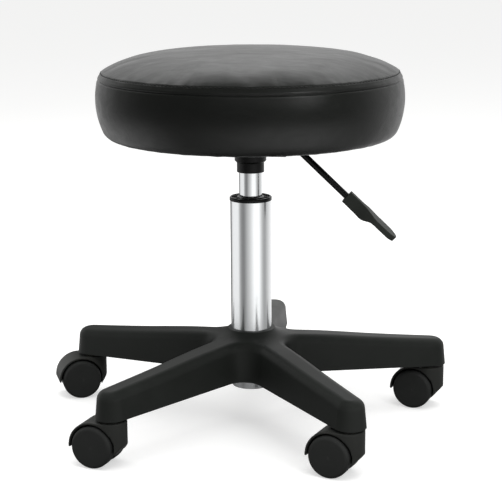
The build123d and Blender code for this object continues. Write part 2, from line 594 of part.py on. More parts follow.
def make_rod():
    rod_end = TUBE_BOTTOM + ROD_END_RECESS
    neck_top = PISTON_TOP + ROD_RIVET_HEIGHT
    save(turned_profile([(0, rod_end), (ROD_NECK_RADIUS, rod_end),
                         (ROD_NECK_RADIUS, ROD_SHOULDER), (ROD_RADIUS, ROD_SHOULDER),
                         (ROD_RADIUS, PISTON_TOP - PISTON_HEIGHT),
                         (ROD_NECK_RADIUS, PISTON_TOP - PISTON_HEIGHT),
                         (ROD_NECK_RADIUS, PISTON_TOP), (ROD_RADIUS, PISTON_TOP),
                         (ROD_NECK_RADIUS, neck_top), (0, neck_top)]), "piston_rod")
    washer_top = TUBE_BOTTOM + TUBE_RECESS - WASHER_GAP
    washer_bottom = washer_top - WASHER_THICKNESS
    save(ring(ROD_NECK_RADIUS, WASHER_RADIUS, washer_bottom, washer_top), "rod_washer")
    with BuildPart() as retaining_clip:
        add(ring(ROD_NECK_RADIUS, CLIP_RADIUS, washer_bottom - CLIP_THICKNESS, washer_bottom))
        with BuildSketch(Plane.XY.offset(washer_bottom - CLIP_THICKNESS)):
            Rectangle(2 * CLIP_RADIUS, CLIP_SLOT, align=(Align.MIN, Align.CENTER))
        extrude(amount=CLIP_THICKNESS, mode=Mode.SUBTRACT)
    save(retaining_clip.part, "retaining_clip")
    save(ring(ROD_RADIUS, BUMPER_RADIUS, ROD_SHOULDER, ROD_SHOULDER + BUMPER_HEIGHT), "bumper")

    piston_bottom = PISTON_TOP - PISTON_HEIGHT
    piston_radius = INNER_TUBE_BORE - RUNNING_FIT
    groove_bottom = piston_bottom + (PISTON_HEIGHT - PISTON_RING_HEIGHT) / 2
    with BuildPart() as piston:
        add(ring(ROD_NECK_RADIUS, piston_radius, piston_bottom, PISTON_TOP))
        add(ring(piston_radius - PISTON_RING_DEPTH, piston_radius + OVERCUT, groove_bottom,
                 groove_bottom + PISTON_RING_HEIGHT), mode=Mode.SUBTRACT)
    save(piston.part, "piston")
    save(ring(piston_radius - PISTON_RING_DEPTH, piston_radius, groove_bottom,
              groove_bottom + PISTON_RING_HEIGHT), "piston_seal")


def cylinder_outside():
    """Outside of the rising tube, straight up to the socket and coned inside it."""
    return turned_profile([(0, CYLINDER_BOTTOM), (CYLINDER_RADIUS, CYLINDER_BOTTOM),
                           (CYLINDER_RADIUS, SOCKET_BOTTOM), (CONE_TOP_RADIUS, CYLINDER_TOP),
                           (0, CYLINDER_TOP)])


def make_cylinder():
    with BuildPart() as pressure_tube:
        add(cylinder_outside())
        with BuildSketch(Plane.XY.offset(CYLINDER_BOTTOM)):
            Circle(CYLINDER_INNER)
        extrude(amount=CYLINDER_TOP - CYLINDER_BOTTOM, mode=Mode.SUBTRACT)
    save(pressure_tube.part, "pressure_tube")

    guide_top = CYLINDER_BOTTOM + GUIDE_HEIGHT
    seal_bottom = CYLINDER_BOTTOM + (GUIDE_HEIGHT - SEAL_HEIGHT) / 2
    rod_fit = ROD_RADIUS + RUNNING_FIT
    with BuildPart() as rod_guide:
        add(ring(rod_fit, CYLINDER_INNER, CYLINDER_BOTTOM, guide_top))
        add(ring(rod_fit, SEAL_RADIUS, seal_bottom, seal_bottom + SEAL_HEIGHT), mode=Mode.SUBTRACT)
    save(rod_guide.part, "rod_guide")
    save(ring(rod_fit, SEAL_RADIUS, seal_bottom, seal_bottom + SEAL_HEIGHT), "rod_seal")
    save(ring(INNER_TUBE_BORE, INNER_TUBE_RADIUS, guide_top, VALVE_BOTTOM), "inner_tube")
    pin_fit = RELEASE_PIN_RADIUS + RUNNING_FIT
    save(ring(pin_fit, CYLINDER_INNER, VALVE_BOTTOM, CYLINDER_TOP), "valve_body")

    with BuildPart() as release_pin:
        with BuildSketch(Plane.XY.offset(PIN_TOP - RELEASE_PIN_LENGTH)):
            Circle(RELEASE_PIN_RADIUS)
        extrude(amount=RELEASE_PIN_LENGTH)
        fillet(release_pin.edges().sort_by(Axis.Z)[-1], RELEASE_PIN_TIP)
    save(release_pin.part, "release_pin")


# ---------------------------------------------------------------- seat mechanism
def bolt_places():
    return GridLocations(BOLT_SPACING, BOLT_SPACING, 2, 2)


def make_mechanism():
    with BuildPart() as column_socket:
        add(turned_profile([(0, SOCKET_BOTTOM), (SOCKET_RADIUS, SOCKET_BOTTOM),
                            (SOCKET_RADIUS, SOCKET_STEP),
                            (SOCKET_UPPER_RADIUS, SOCKET_STEP + SOCKET_FLARE),
                            (SOCKET_UPPER_RADIUS, CYLINDER_TOP + SOCKET_LIP),
                            (0, CYLINDER_TOP + SOCKET_LIP)]))
        add(cylinder_outside(), mode=Mode.SUBTRACT)
        with BuildSketch(Plane.XY.offset(CYLINDER_TOP)):
            Circle(CONE_TOP_RADIUS)
        extrude(amount=SOCKET_LIP, mode=Mode.SUBTRACT)
    save(column_socket.part, "column_socket")

    with BuildPart() as seat_plate:
        with BuildSketch(Plane.XY.offset(PLATE_BOTTOM)):
            RectangleRounded(PLATE_SIZE, PLATE_SIZE, PLATE_CORNER)
            with bolt_places():
                Circle(BOLT_HOLE_RADIUS, mode=Mode.SUBTRACT)
        extrude(amount=PLATE_THICKNESS)
    save(seat_plate.part, "seat_plate")

    length = HOUSING_RIGHT - HOUSING_LEFT
    with BuildPart() as mechanism_housing:
        with BuildSketch(Plane.XY.offset(HOUSING_BOTTOM)):
            with Locations((HOUSING_LEFT, 0)):
                Rectangle(length, HOUSING_WIDTH, align=(Align.MIN, Align.CENTER))
        extrude(amount=PLATE_BOTTOM - HOUSING_BOTTOM)
        upright = mechanism_housing.edges().filter_by(Axis.Z).group_by(Axis.X)[0]
        fillet(upright, 3 * HOUSING_WALL)
        with BuildSketch(Plane.XY.offset(HOUSING_BOTTOM + HOUSING_WALL)):
            with Locations((HOUSING_LEFT + HOUSING_WALL, 0)):
                Rectangle(length, HOUSING_WIDTH - 2 * HOUSING_WALL, align=(Align.MIN, Align.CENTER))
        extrude(amount=PLATE_BOTTOM - HOUSING_BOTTOM, mode=Mode.SUBTRACT)
        with BuildSketch(Plane.XY.offset(HOUSING_BOTTOM)):
            Circle(SOCKET_UPPER_RADIUS)
        extrude(amount=HOUSING_WALL, mode=Mode.SUBTRACT)
        with BuildSketch(Plane.XZ):
            with Locations((LEVER_PIVOT_X, LEVER_AXIS_HEIGHT)):
                Circle(PIVOT_PIN_RADIUS)
        extrude(amount=HOUSING_WIDTH, both=True, mode=Mode.SUBTRACT)
    save(mechanism_housing.part, "mechanism_housing")


def make_fasteners():
    washer_bottom = PLATE_BOTTOM - SPRING_WASHER_THICKNESS
    with BuildPart() as seat_bolts:
        with BuildSketch(Plane.XY.offset(washer_bottom - BOLT_HEAD_HEIGHT)):
            with bolt_places():
                RegularPolygon(BOLT_HEAD_RADIUS, 6)
        extrude(amount=BOLT_HEAD_HEIGHT)
        with BuildSketch(Plane.XY.offset(washer_bottom)):
            with bolt_places():
                Circle(BOLT_RADIUS)
        extrude(amount=BOLT_LENGTH)
    save(seat_bolts.part, "seat_bolts")
    with BuildPart() as spring_washers:
        with BuildSketch(Plane.XY.offset(washer_bottom)):
            with bolt_places():
                Circle(SPRING_WASHER_RADIUS)
                Circle(BOLT_RADIUS, mode=Mode.SUBTRACT)
        extrude(amount=SPRING_WASHER_THICKNESS)
    save(spring_washers.part, "spring_washers")
    with BuildPart() as tee_nuts:
        with BuildSketch(Plane.XY.offset(BOARD_TOP - TEE_NUT_DEPTH)):
            with bolt_places():
                Circle(TEE_NUT_BARREL)
        extrude(amount=TEE_NUT_DEPTH)
        with BuildSketch(Plane.XY.offset(BOARD_TOP - TEE_NUT_FLANGE_THICKNESS)):
            with bolt_places():
                Circle(TEE_NUT_FLANGE)
        extrude(amount=TEE_NUT_FLANGE_THICKNESS)
        with BuildSketch(Plane.XY.offset(BOARD_BOTTOM)):
            with bolt_places():
                Circle(BOLT_RADIUS)
        extrude(amount=BOARD_THICKNESS, mode=Mode.SUBTRACT)
    save(tee_nuts.part, "tee_nuts")


# ---------------------------------------------------------------- lever
def slope_point(along, above):
    """A point of the lever's plane: along the sloping rod from its bend, and square above it."""
    droop = math.radians(LEVER_DROOP)
    return (LEVER_BEND_X + along * math.cos(droop) + above * math.sin(droop),
            LEVER_AXIS_HEIGHT - along * math.sin(droop) + above * math.cos(droop))


def make_lever():
    rod_end = slope_point(LEVER_SLOPE_LENGTH + PADDLE_GRIP, 0)
    pivot = (LEVER_PIVOT_X, LEVER_AXIS_HEIGHT)
    with BuildPart() as lever_rod:
        with BuildLine(Plane.XZ) as path:
            FilletPolyline((LEVER_TIP_X, LEVER_AXIS_HEIGHT), (LEVER_BEND_X, LEVER_AXIS_HEIGHT),
                           rod_end, radius=LEVER_BEND_RADIUS)
        with BuildSketch(Plane(origin=path.line @ 0, z_dir=path.line % 0)):
            Circle(LEVER_RADIUS)
        sweep()
        with BuildSketch(Plane.XZ):
            with Locations(pivot):
                Circle(PIVOT_BOSS_RADIUS)
        extrude(amount=PIVOT_BOSS_HALF, both=True)
        with BuildSketch(Plane.XZ):
            with Locations(pivot):
                Circle(PIVOT_PIN_RADIUS + RUNNING_FIT)
        extrude(amount=2 * PIVOT_BOSS_HALF, both=True, mode=Mode.SUBTRACT)
    save(lever_rod.part, "lever_rod")

    pin_half = HOUSING_WIDTH / 2 + PIVOT_PIN_END
    with BuildPart() as lever_pivot_pin:
        with BuildSketch(Plane.XZ):
            with Locations(pivot):
                Circle(PIVOT_PIN_RADIUS)
        extrude(amount=pin_half, both=True)
        with BuildSketch(Plane.XZ.offset(HOUSING_WIDTH / 2)):
            with Locations(pivot):
                Circle(2 * PIVOT_PIN_RADIUS)
        extrude(amount=PIVOT_HEAD)
    save(lever_pivot_pin.part, "lever_pivot_pin")
    with BuildPart() as pivot_clip:
        with BuildSketch(Plane.XZ.offset(-HOUSING_WIDTH / 2)):
            with Locations(pivot):
                Circle(PIVOT_CLIP_RADIUS)
                Circle(PIVOT_PIN_RADIUS, mode=Mode.SUBTRACT)
        extrude(amount=-PIVOT_CLIP_THICKNESS)
    save(pivot_clip.part, "pivot_clip")


def make_paddle():
    droop = math.radians(LEVER_DROOP)
    start = slope_point(LEVER_SLOPE_LENGTH, 0)
    along = (math.cos(droop), 0, -math.sin(droop))
    side_plane = Plane(origin=(start[0], 0, start[1]), x_dir=along, z_dir=(0, -1, 0))
    top_plane = Plane(origin=(start[0], 0, start[1]), x_dir=along,
                      z_dir=(math.sin(droop), 0, math.cos(droop)))
    blade_bottom = PADDLE_BLADE_TOP - PADDLE_BLADE_THICKNESS
    block_end = PADDLE_GRIP + PADDLE_BLOCK_END
    neck_end = block_end + PADDLE_NECK
    flare_end = neck_end + PADDLE_FLARE
    with BuildPart() as lever_paddle:
        with BuildSketch(side_plane):
            with BuildLine():
                upper = Spline((block_end, PADDLE_BLOCK_HALF), (neck_end, PADDLE_BLADE_TOP),
                               tangents=((1, 0), (1, 0)))
                lower = Spline((neck_end, blade_bottom), (block_end, -PADDLE_BLOCK_HALF),
                               tangents=((-1, 0), (-1, 0)))
                Polyline(upper @ 1, (PADDLE_LENGTH, PADDLE_BLADE_TOP),
                         (PADDLE_LENGTH, blade_bottom), lower @ 0)
                Polyline(lower @ 1, (0, -PADDLE_BLOCK_HALF), (0, PADDLE_BLOCK_HALF), upper @ 0)
            make_face()
        extrude(amount=PADDLE_BLADE_WIDTH, both=True)
        with BuildSketch(top_plane):
            half_block = PADDLE_BLOCK_WIDTH / 2
            half_blade = PADDLE_BLADE_WIDTH / 2
            tip_start = PADDLE_LENGTH - half_blade
            with BuildLine():
                left = Spline((block_end / 2, half_block), (flare_end, half_blade),
                              tangents=((1, 0), (1, 0)))
                Line(left @ 1, (tip_start, half_blade))
                ThreePointArc((tip_start, half_blade), (PADDLE_LENGTH, 0), (tip_start, -half_blade))
                right = Spline((flare_end, -half_blade), (block_end / 2, -half_block),
                               tangents=((-1, 0), (-1, 0)))
                Line((tip_start, -half_blade), right @ 0)
                Polyline(right @ 1, (0, -half_block), (0, half_block), left @ 0)
            make_face()
        extrude(amount=2 * PADDLE_BLADE_WIDTH, both=True, mode=Mode.INTERSECT)
        with BuildSketch(Plane(origin=(start[0], 0, start[1]), z_dir=along)):
            Circle(LEVER_RADIUS)
        extrude(amount=PADDLE_GRIP, mode=Mode.SUBTRACT)
    save(lever_paddle.part, "lever_paddle")


# ---------------------------------------------------------------- seat
def seat_form(inset):
    """The seat's rounded form, with every face moved inwards by inset."""
    radius, bottom, crown = SEAT_RADIUS - inset, SEAT_BOTTOM + inset, SEAT_CROWN - inset
    with BuildPart() as form:
        with BuildSketch(Plane.XZ):
            with BuildLine():
                shoulder = TangentArc((radius - LOWER_EDGE_INSET, bottom),
                                      (radius - SHOULDER_INSET, bottom + SHOULDER_RISE),
                                      tangent=(1, 0))
                side = Spline(shoulder @ 1, (radius - SIDE_INSET, bottom + SIDE_RISE),
                              (radius, bottom + WIDEST_RISE),
                              (radius - SEAM_INSET, crown - SEAM_DROP),
                              (radius - WELT_INSET, crown - WELT_DROP))
                top = Spline(side @ 1, (radius - TOP_INSET, crown - TOP_DROP),
                             (radius - DOME_INSET, crown - DOME_DROP),
                             (radius - CROWN_EASE_INSET, crown - CROWN_EASE_DROP), (0, crown))
                Polyline(top @ 1, (0, bottom), shoulder @ 0)
            make_face()
        revolve(axis=Axis.Z)
    return form.part


def make_seat():
    with BuildPart() as board:
        with BuildSketch(Plane.XY.offset(BOARD_BOTTOM)):
            Circle(BOARD_RADIUS)
            with bolt_places():
                Circle(TEE_NUT_BARREL, mode=Mode.SUBTRACT)
        extrude(amount=BOARD_THICKNESS)
        with BuildSketch(Plane.XY.offset(BOARD_TOP)):
            with bolt_places():
                Circle(TEE_NUT_FLANGE)
        extrude(amount=-TEE_NUT_FLANGE_THICKNESS, mode=Mode.SUBTRACT)
    save(board.part, "seat_board")

    with BuildPart() as seat_foam:
        add(seat_form(COVER_THICKNESS))
        add(disc(BOARD_RADIUS, BOARD_BOTTOM - OVERCUT, BOARD_TOP), mode=Mode.SUBTRACT)
    save(seat_foam.part, "seat_foam")

    with BuildPart() as seat_cover:
        add(seat_form(0.0))
        add(seat_form(COVER_THICKNESS), mode=Mode.SUBTRACT)
        add(disc(COVER_LIP_RADIUS, SEAT_BOTTOM - OVERCUT, BOARD_BOTTOM), mode=Mode.SUBTRACT)
    save(seat_cover.part, "seat_cover")


def make_dust_cover():
    step_outer = COVER_LIP_RADIUS - DUST_COVER_THICKNESS
    step_inner = step_outer - DUST_COVER_THICKNESS
    with BuildPart() as dust_cover:
        add(turned_profile([(0, BOARD_BOTTOM), (step_outer, BOARD_BOTTOM), (step_outer, SEAT_BOTTOM),
                            (DUST_COVER_RADIUS, SEAT_BOTTOM),
                            (DUST_COVER_RADIUS, SEAT_BOTTOM - DUST_COVER_THICKNESS),
                            (step_inner, SEAT_BOTTOM - DUST_COVER_THICKNESS),
                            (step_inner, PLATE_TOP), (0, PLATE_TOP)]))
        with BuildSketch(Plane.XY.offset(PLATE_TOP)):
            with bolt_places():
                Circle(BOLT_HOLE_RADIUS)
        extrude(amount=DUST_COVER_THICKNESS, mode=Mode.SUBTRACT)
    save(dust_cover.part, "dust_cover")

    crown_top = SEAT_BOTTOM - DUST_COVER_THICKNESS
    with BuildPart() as staples:
        with BuildSketch(Plane.XY.offset(crown_top - STAPLE_WIRE)):
            with PolarLocations(STAPLE_CIRCLE, STAPLE_COUNT):
                Rectangle(STAPLE_WIRE, STAPLE_CROWN)
        extrude(amount=STAPLE_WIRE)
        with BuildSketch(Plane.XY.offset(crown_top)):
            with PolarLocations(STAPLE_CIRCLE, STAPLE_COUNT):
                with GridLocations(0, STAPLE_CROWN - STAPLE_WIRE, 1, 2):
                    Rectangle(STAPLE_WIRE, STAPLE_WIRE)
        extrude(amount=STAPLE_LEG)
    save(staples.part, "staples")


make_star_base()
make_stems()
make_casters()
make_column()
make_rod()
make_cylinder()
make_mechanism()
make_fasteners()
make_lever()
make_paddle()
make_seat()
make_dust_cover()
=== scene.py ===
import math

import bmesh
import bpy
import numpy as np
from mathutils import Matrix, Vector, kdtree, noise


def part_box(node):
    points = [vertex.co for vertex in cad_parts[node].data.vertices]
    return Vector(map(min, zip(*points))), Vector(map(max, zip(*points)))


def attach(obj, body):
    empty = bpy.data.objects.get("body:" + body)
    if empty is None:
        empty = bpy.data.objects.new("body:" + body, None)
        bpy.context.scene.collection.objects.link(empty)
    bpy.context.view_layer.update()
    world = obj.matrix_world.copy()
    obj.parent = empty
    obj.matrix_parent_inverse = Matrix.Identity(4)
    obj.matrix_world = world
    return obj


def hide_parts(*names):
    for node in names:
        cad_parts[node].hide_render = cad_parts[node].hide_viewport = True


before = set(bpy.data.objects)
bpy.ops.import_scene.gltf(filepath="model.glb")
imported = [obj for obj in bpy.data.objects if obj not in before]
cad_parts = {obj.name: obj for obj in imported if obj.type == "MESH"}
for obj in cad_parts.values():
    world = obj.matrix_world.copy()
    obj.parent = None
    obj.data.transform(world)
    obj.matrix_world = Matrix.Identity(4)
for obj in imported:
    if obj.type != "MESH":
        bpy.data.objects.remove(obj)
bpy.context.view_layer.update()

MM = 0.001


# ---- Base moulding ----
# A five-arm star injection moulded in glass-filled nylon, hollow below and ribbed.
# Spark-eroded tooling leaves an even satin texture, and the melt's flow shifts its gloss slowly.
FLOW_PATCH = 28 * MM
TOOL_DEPTH = 0.05 * MM


def linear(colour):
    """An sRGB hex colour as linear RGBA."""
    parts = [int(colour[i:i + 2], 16) / 255 for i in (1, 3, 5)]
    return [v / 12.92 if v <= 0.04045 else ((v + 0.055) / 1.055) ** 2.4 for v in parts] + [1.0]


def add_node(tree, kind, values=None, links=None, **settings):
    """Adds one node with its settings, socket values and incoming links."""
    node = tree.nodes.new(kind)
    for name, value in settings.items():
        setattr(node, name, value)
    for socket, value in (values or {}).items():
        node.inputs[socket].default_value = value
    for socket, source in (links or {}).items():
        tree.links.new(source, node.inputs[socket])
    return node


def start_material(name, **surface):
    """A new material with the given surface values, its tree, its shader and object coordinates."""
    material = bpy.data.materials.new(name)
    material.use_nodes = True
    tree = material.node_tree
    shader = tree.nodes["Principled BSDF"]
    for socket, value in surface.items():
        shader.inputs[socket.replace("_", " ")].default_value = value
    where = add_node(tree, "ShaderNodeTexCoord").outputs["Object"]
    return material, tree, shader, where


def dress(material, *nodes):
    """Gives CAD nodes a material through their slots."""
    for name in nodes:
        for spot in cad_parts[name].material_slots:
            spot.material = material


def moulded(name, dark, light, roughness, spread, grain, depth, ior=1.5):
    """Moulded plastic: a fine tool texture, slow shifts of tone and gloss."""
    material, tree, shader, where = start_material(name, IOR=ior, Specular_IOR_Level=0.11)
    texture = add_node(tree, "ShaderNodeTexNoise", {"Scale": 1 / (grain * MM), "Detail": 3.0},
                       {"Vector": where})
    flow = add_node(tree, "ShaderNodeTexNoise", {"Scale": 1 / FLOW_PATCH, "Detail": 4.0},
                    {"Vector": where})
    tone = add_node(tree, "ShaderNodeMix", {"A": linear(dark), "B": linear(light)},
                    {"Factor": flow.outputs["Fac"]}, data_type="RGBA")
    gloss = add_node(tree, "ShaderNodeMapRange",
                     {"To Min": roughness - spread, "To Max": roughness + spread},
                     {"Value": flow.outputs["Fac"]})
    bump = add_node(tree, "ShaderNodeBump", {"Strength": depth, "Distance": TOOL_DEPTH},
                    {"Height": texture.outputs["Fac"]})
    tree.links.new(tone.outputs["Result"], shader.inputs["Base Color"])
    tree.links.new(gloss.outputs["Result"], shader.inputs["Roughness"])
    tree.links.new(bump.outputs["Normal"], shader.inputs["Normal"])
    return material


# Glass-filled nylon: near black, with the broad soft highlight of a satin tool texture.
satin_nylon = moulded("moulded_glass_filled_nylon", "#1e201e", "#252725", 0.42, 0.05, 0.9, 0.45,
                      1.53)
dress(satin_nylon, "star_base")


# ---- Casters ----
# Twin-wheel casters: a moulded nylon hood turns on a zinc-plated pin held in the arm by a split
# spring ring, and two moulded wheels are pushed on to a steel axle through the hood's web.
PLACES = ("back", "left", "front_left", "front_right", "right")
HOOD_SKIN, HOOD_ROUNDS = 0.75, 8
CLOUD_PATCH = 9 * MM
PLATE_DEPTH = 0.02 * MM
SAME_POINT = 0.002 * MM
hood_nylon = moulded("moulded_hood_nylon", "#292a28", "#323331", 0.40, 0.06, 0.7, 0.35, 1.53)
wheel_nylon = moulded("moulded_wheel_nylon", "#262726", "#2e2f2e", 0.40, 0.07, 1.1, 0.30, 1.53)


def metal(name, colour, other, roughness, spread, grain, depth, stretch=(1.0, 1.0, 1.0)):
    """Bare or plated metal: grain stretched along the way it was drawn or turned."""
    material, tree, shader, where = start_material(name, Metallic=1.0)
    laid = add_node(tree, "ShaderNodeMapping", {"Scale": stretch}, {"Vector": where})
    fine = add_node(tree, "ShaderNodeTexNoise", {"Scale": 1 / (grain * MM), "Detail": 3.0},
                    {"Vector": laid.outputs["Vector"]})
    cloud = add_node(tree, "ShaderNodeTexNoise", {"Scale": 1 / CLOUD_PATCH, "Detail": 3.0},
                     {"Vector": where})
    tone = add_node(tree, "ShaderNodeMix", {"A": linear(colour), "B": linear(other)},
                    {"Factor": cloud.outputs["Fac"]}, data_type="RGBA")
    gloss = add_node(tree, "ShaderNodeMapRange",
                     {"To Min": roughness - spread, "To Max": roughness + spread},
                     {"Value": fine.outputs["Fac"]})
    bump = add_node(tree, "ShaderNodeBump", {"Strength": depth, "Distance": PLATE_DEPTH},
                    {"Height": fine.outputs["Fac"]})
    tree.links.new(tone.outputs["Result"], shader.inputs["Base Color"])
    tree.links.new(gloss.outputs["Result"], shader.inputs["Roughness"])
    tree.links.new(bump.outputs["Normal"], shader.inputs["Normal"])
    return material


# Zinc plate over cold-headed steel: grey, cloudy, a little yellow where it was passivated.
zinc_plate = metal("zinc_plated_steel", "#b9bbb8", "#a8a594", 0.34, 0.08, 0.6, 0.25)


def soften(node, name, voxel, rounds):
    """A moulded copy of a CAD node with its sharp edges eased, as a tool leaves them."""
    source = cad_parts[node]
    shape = bmesh.new()
    shape.from_mesh(source.data)
    bmesh.ops.remove_doubles(shape, verts=shape.verts, dist=SAME_POINT)
    mesh = bpy.data.meshes.new(name)
    shape.to_mesh(mesh)
    shape.free()
    piece = bpy.data.objects.new(name, mesh)
    bpy.context.scene.collection.objects.link(piece)
    remesh = piece.modifiers.new("even_skin", "REMESH")
    remesh.mode = "VOXEL"
    remesh.voxel_size = voxel * MM
    ease = piece.modifiers.new("eased_edges", "SMOOTH")
    ease.factor = 0.5
    ease.iterations = rounds
    finished = bpy.data.meshes.new_from_object(
        piece.evaluated_get(bpy.context.evaluated_depsgraph_get()))
    piece.modifiers.clear()
    piece.data = finished
    finished.materials.clear()
    finished.shade_smooth()
    return piece


for place in PLACES:
    hood = soften("caster_hood_" + place, "hood_" + place, HOOD_SKIN, HOOD_ROUNDS)
    hood.data.materials.append(hood_nylon)
    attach(hood, "caster_" + place)
    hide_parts("caster_hood_" + place)
    dress(wheel_nylon, "wheel_" + place + "_1", "wheel_" + place + "_2")
    dress(zinc_plate, "axle_" + place)
dress(zinc_plate, "caster_stems", "grip_rings")


# ---- Gas lift ----
# The outer tube is wedged in the hub and bright chrome plated; the rising tube is ground and hard
# chromed. It runs in an acetal bush, and turns on a thrust bearing at the bottom of the tube.
POLISH_LINE = 0.8 * MM
HANDLED_PATCH = 22 * MM


def chrome(name, colour, roughness):
    """Chrome plate on drawn tube: mirror bright, with faint polishing lines along the tube."""
    material, tree, shader, where = start_material(name, Metallic=1.0)
    shader.inputs["Base Color"].default_value = linear(colour)
    along = add_node(tree, "ShaderNodeMapping", {"Scale": (1.0, 1.0, 0.02)}, {"Vector": where})
    lines = add_node(tree, "ShaderNodeTexNoise", {"Scale": 1 / POLISH_LINE, "Detail": 2.0},
                     {"Vector": along.outputs["Vector"]})
    hands = add_node(tree, "ShaderNodeTexNoise", {"Scale": 1 / HANDLED_PATCH, "Detail": 4.0},
                     {"Vector": where})
    gloss = add_node(tree, "ShaderNodeMapRange",
                     {"From Min": 0.35, "From Max": 0.8,
                      "To Min": roughness, "To Max": roughness + 0.05},
                     {"Value": hands.outputs["Fac"]})
    bump = add_node(tree, "ShaderNodeBump", {"Strength": 0.05, "Distance": 0.01 * MM},
                    {"Height": lines.outputs["Fac"]})
    tree.links.new(gloss.outputs["Result"], shader.inputs["Roughness"])
    tree.links.new(bump.outputs["Normal"], shader.inputs["Normal"])
    return material


# Bright chrome plate, a touch bluish; hard chrome on the ground rising tube is slightly greyer.
dress(chrome("bright_chrome_plate", "#e9ebec", 0.17), "outer_tube")
dress(chrome("hard_chrome_plate", "#e3e5e6", 0.10), "pressure_tube")
# Acetal: dark, slightly waxy. Bearing steel is ground and bright. Nitrile is dull.
acetal = moulded("moulded_acetal", "#161817", "#1e201f", 0.26, 0.04, 0.8, 0.2, 1.48)
bearing_steel = metal("ground_bearing_steel", "#c4c5c6", "#b8b9ba", 0.18, 0.05, 0.3, 0.15)
drawn_steel = metal("drawn_steel", "#b2b3b4", "#a5a6a7", 0.28, 0.08, 0.5, 0.3, (1.0, 1.0, 0.05))
turned_aluminium = metal("turned_aluminium", "#cfd0d1", "#c3c4c5", 0.30, 0.07, 0.35, 0.35,
                         (0.05, 0.05, 1.0))
nitrile = moulded("moulded_nitrile_rubber", "#161616", "#1e1e1d", 0.72, 0.06, 0.6, 0.5, 1.52)
dress(acetal, "guide_bush", "ball_cage")
dress(bearing_steel, "lower_race", "upper_race", "bearing_balls")
dress(drawn_steel, "piston_rod", "inner_tube")
dress(turned_aluminium, "piston", "rod_guide", "valve_body")
dress(nitrile, "piston_seal", "rod_seal", "bumper")
dress(zinc_plate, "rod_washer", "retaining_clip", "release_pin")


# ---- Seat mechanism ----
# A turned socket holds the lift's cone; a folded steel channel is welded round it and to a stamped
# plate, and four screws with spring washers hold the plate to tee nuts in the seat board.
PEEL_WAVE = 1.4 * MM
COAT_PATCH = 18 * MM
WELD_PITCH, WELD_BEAD = 1.3 * MM, 1.5 * MM
WELD_START, WELD_END, WELD_DROP = 9 * MM, 2 * MM, 0.6 * MM
WELD_STEPS = 40


def powder_coat(name, dark, light, roughness):
    """Powder coat: baked on thick, so it has the soft waves of orange peel."""
    material, tree, shader, where = start_material(name, IOR=1.5, Coat_Weight=0.04,
                                                   Coat_Roughness=0.25,
                                                   Specular_IOR_Level=0.22)
    peel = add_node(tree, "ShaderNodeTexVoronoi", {"Scale": 1 / PEEL_WAVE, "Smoothness": 1.0},
                    {"Vector": where}, feature="SMOOTH_F1")
    cloud = add_node(tree, "ShaderNodeTexNoise", {"Scale": 1 / COAT_PATCH, "Detail": 4.0},
                     {"Vector": where})
    tone = add_node(tree, "ShaderNodeMix", {"A": linear(dark), "B": linear(light)},
                    {"Factor": cloud.outputs["Fac"]}, data_type="RGBA")
    gloss = add_node(tree, "ShaderNodeMapRange",
                     {"To Min": roughness - 0.06, "To Max": roughness + 0.06},
                     {"Value": cloud.outputs["Fac"]})
    bump = add_node(tree, "ShaderNodeBump", {"Strength": 0.3, "Distance": 0.06 * MM},
                    {"Height": peel.outputs["Distance"]})
    tree.links.new(tone.outputs["Result"], shader.inputs["Base Color"])
    tree.links.new(gloss.outputs["Result"], shader.inputs["Roughness"])
    tree.links.new(bump.outputs["Normal"], shader.inputs["Normal"])
    return material


# Black powder coat: satin, slightly rippled.
black_powder = powder_coat("black_powder_coat", "#090a09", "#101110", 0.40)
dress(black_powder, "column_socket", "mechanism_housing", "seat_plate")
dress(zinc_plate, "seat_bolts", "spring_washers", "tee_nuts", "lever_pivot_pin", "pivot_clip")

# The weld between channel and plate: overlapping ripples laid by hand, then coated with the rest.
housing_low, housing_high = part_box("mechanism_housing")


def ripple_tree():
    """Lays ripples along a curve, with their spacing and size as inputs."""
    tree = bpy.data.node_groups.new("weld_ripples", "GeometryNodeTree")
    face = tree.interface
    face.new_socket("Path", in_out="INPUT", socket_type="NodeSocketGeometry")
    for name in ("Spacing", "Bead Radius"):
        face.new_socket(name, in_out="INPUT", socket_type="NodeSocketFloat")
    face.new_socket("Finish", in_out="INPUT", socket_type="NodeSocketMaterial")
    face.new_socket("Beads", in_out="OUTPUT", socket_type="NodeSocketGeometry")
    given = add_node(tree, "NodeGroupInput").outputs
    path = add_node(tree, "GeometryNodeMeshToCurve", links={"Mesh": given["Path"]})
    points = add_node(tree, "GeometryNodeCurveToPoints",
                      links={"Curve": path.outputs["Curve"], "Length": given["Spacing"]},
                      mode="LENGTH")
    bead = add_node(tree, "GeometryNodeMeshUVSphere", {"Segments": 8, "Rings": 5},
                    {"Radius": given["Bead Radius"]})
    uneven = add_node(tree, "FunctionNodeRandomValue", {"Min": (0.75, 0.85, 0.75),
                      "Max": (0.95, 1.15, 0.95), "Seed": 4}, data_type="FLOAT_VECTOR")
    laid = add_node(tree, "GeometryNodeInstanceOnPoints",
                    links={"Points": points.outputs["Points"], "Instance": bead.outputs["Mesh"],
                           "Rotation": points.outputs["Rotation"],
                           "Scale": uneven.outputs["Value"]})
    real = add_node(tree, "GeometryNodeRealizeInstances",
                    links={"Geometry": laid.outputs["Instances"]})
    coated = add_node(tree, "GeometryNodeSetMaterial",
                      links={"Geometry": real.outputs["Geometry"], "Material": given["Finish"]})
    add_node(tree, "NodeGroupOutput", links={"Beads": coated.outputs["Geometry"]})
    return tree


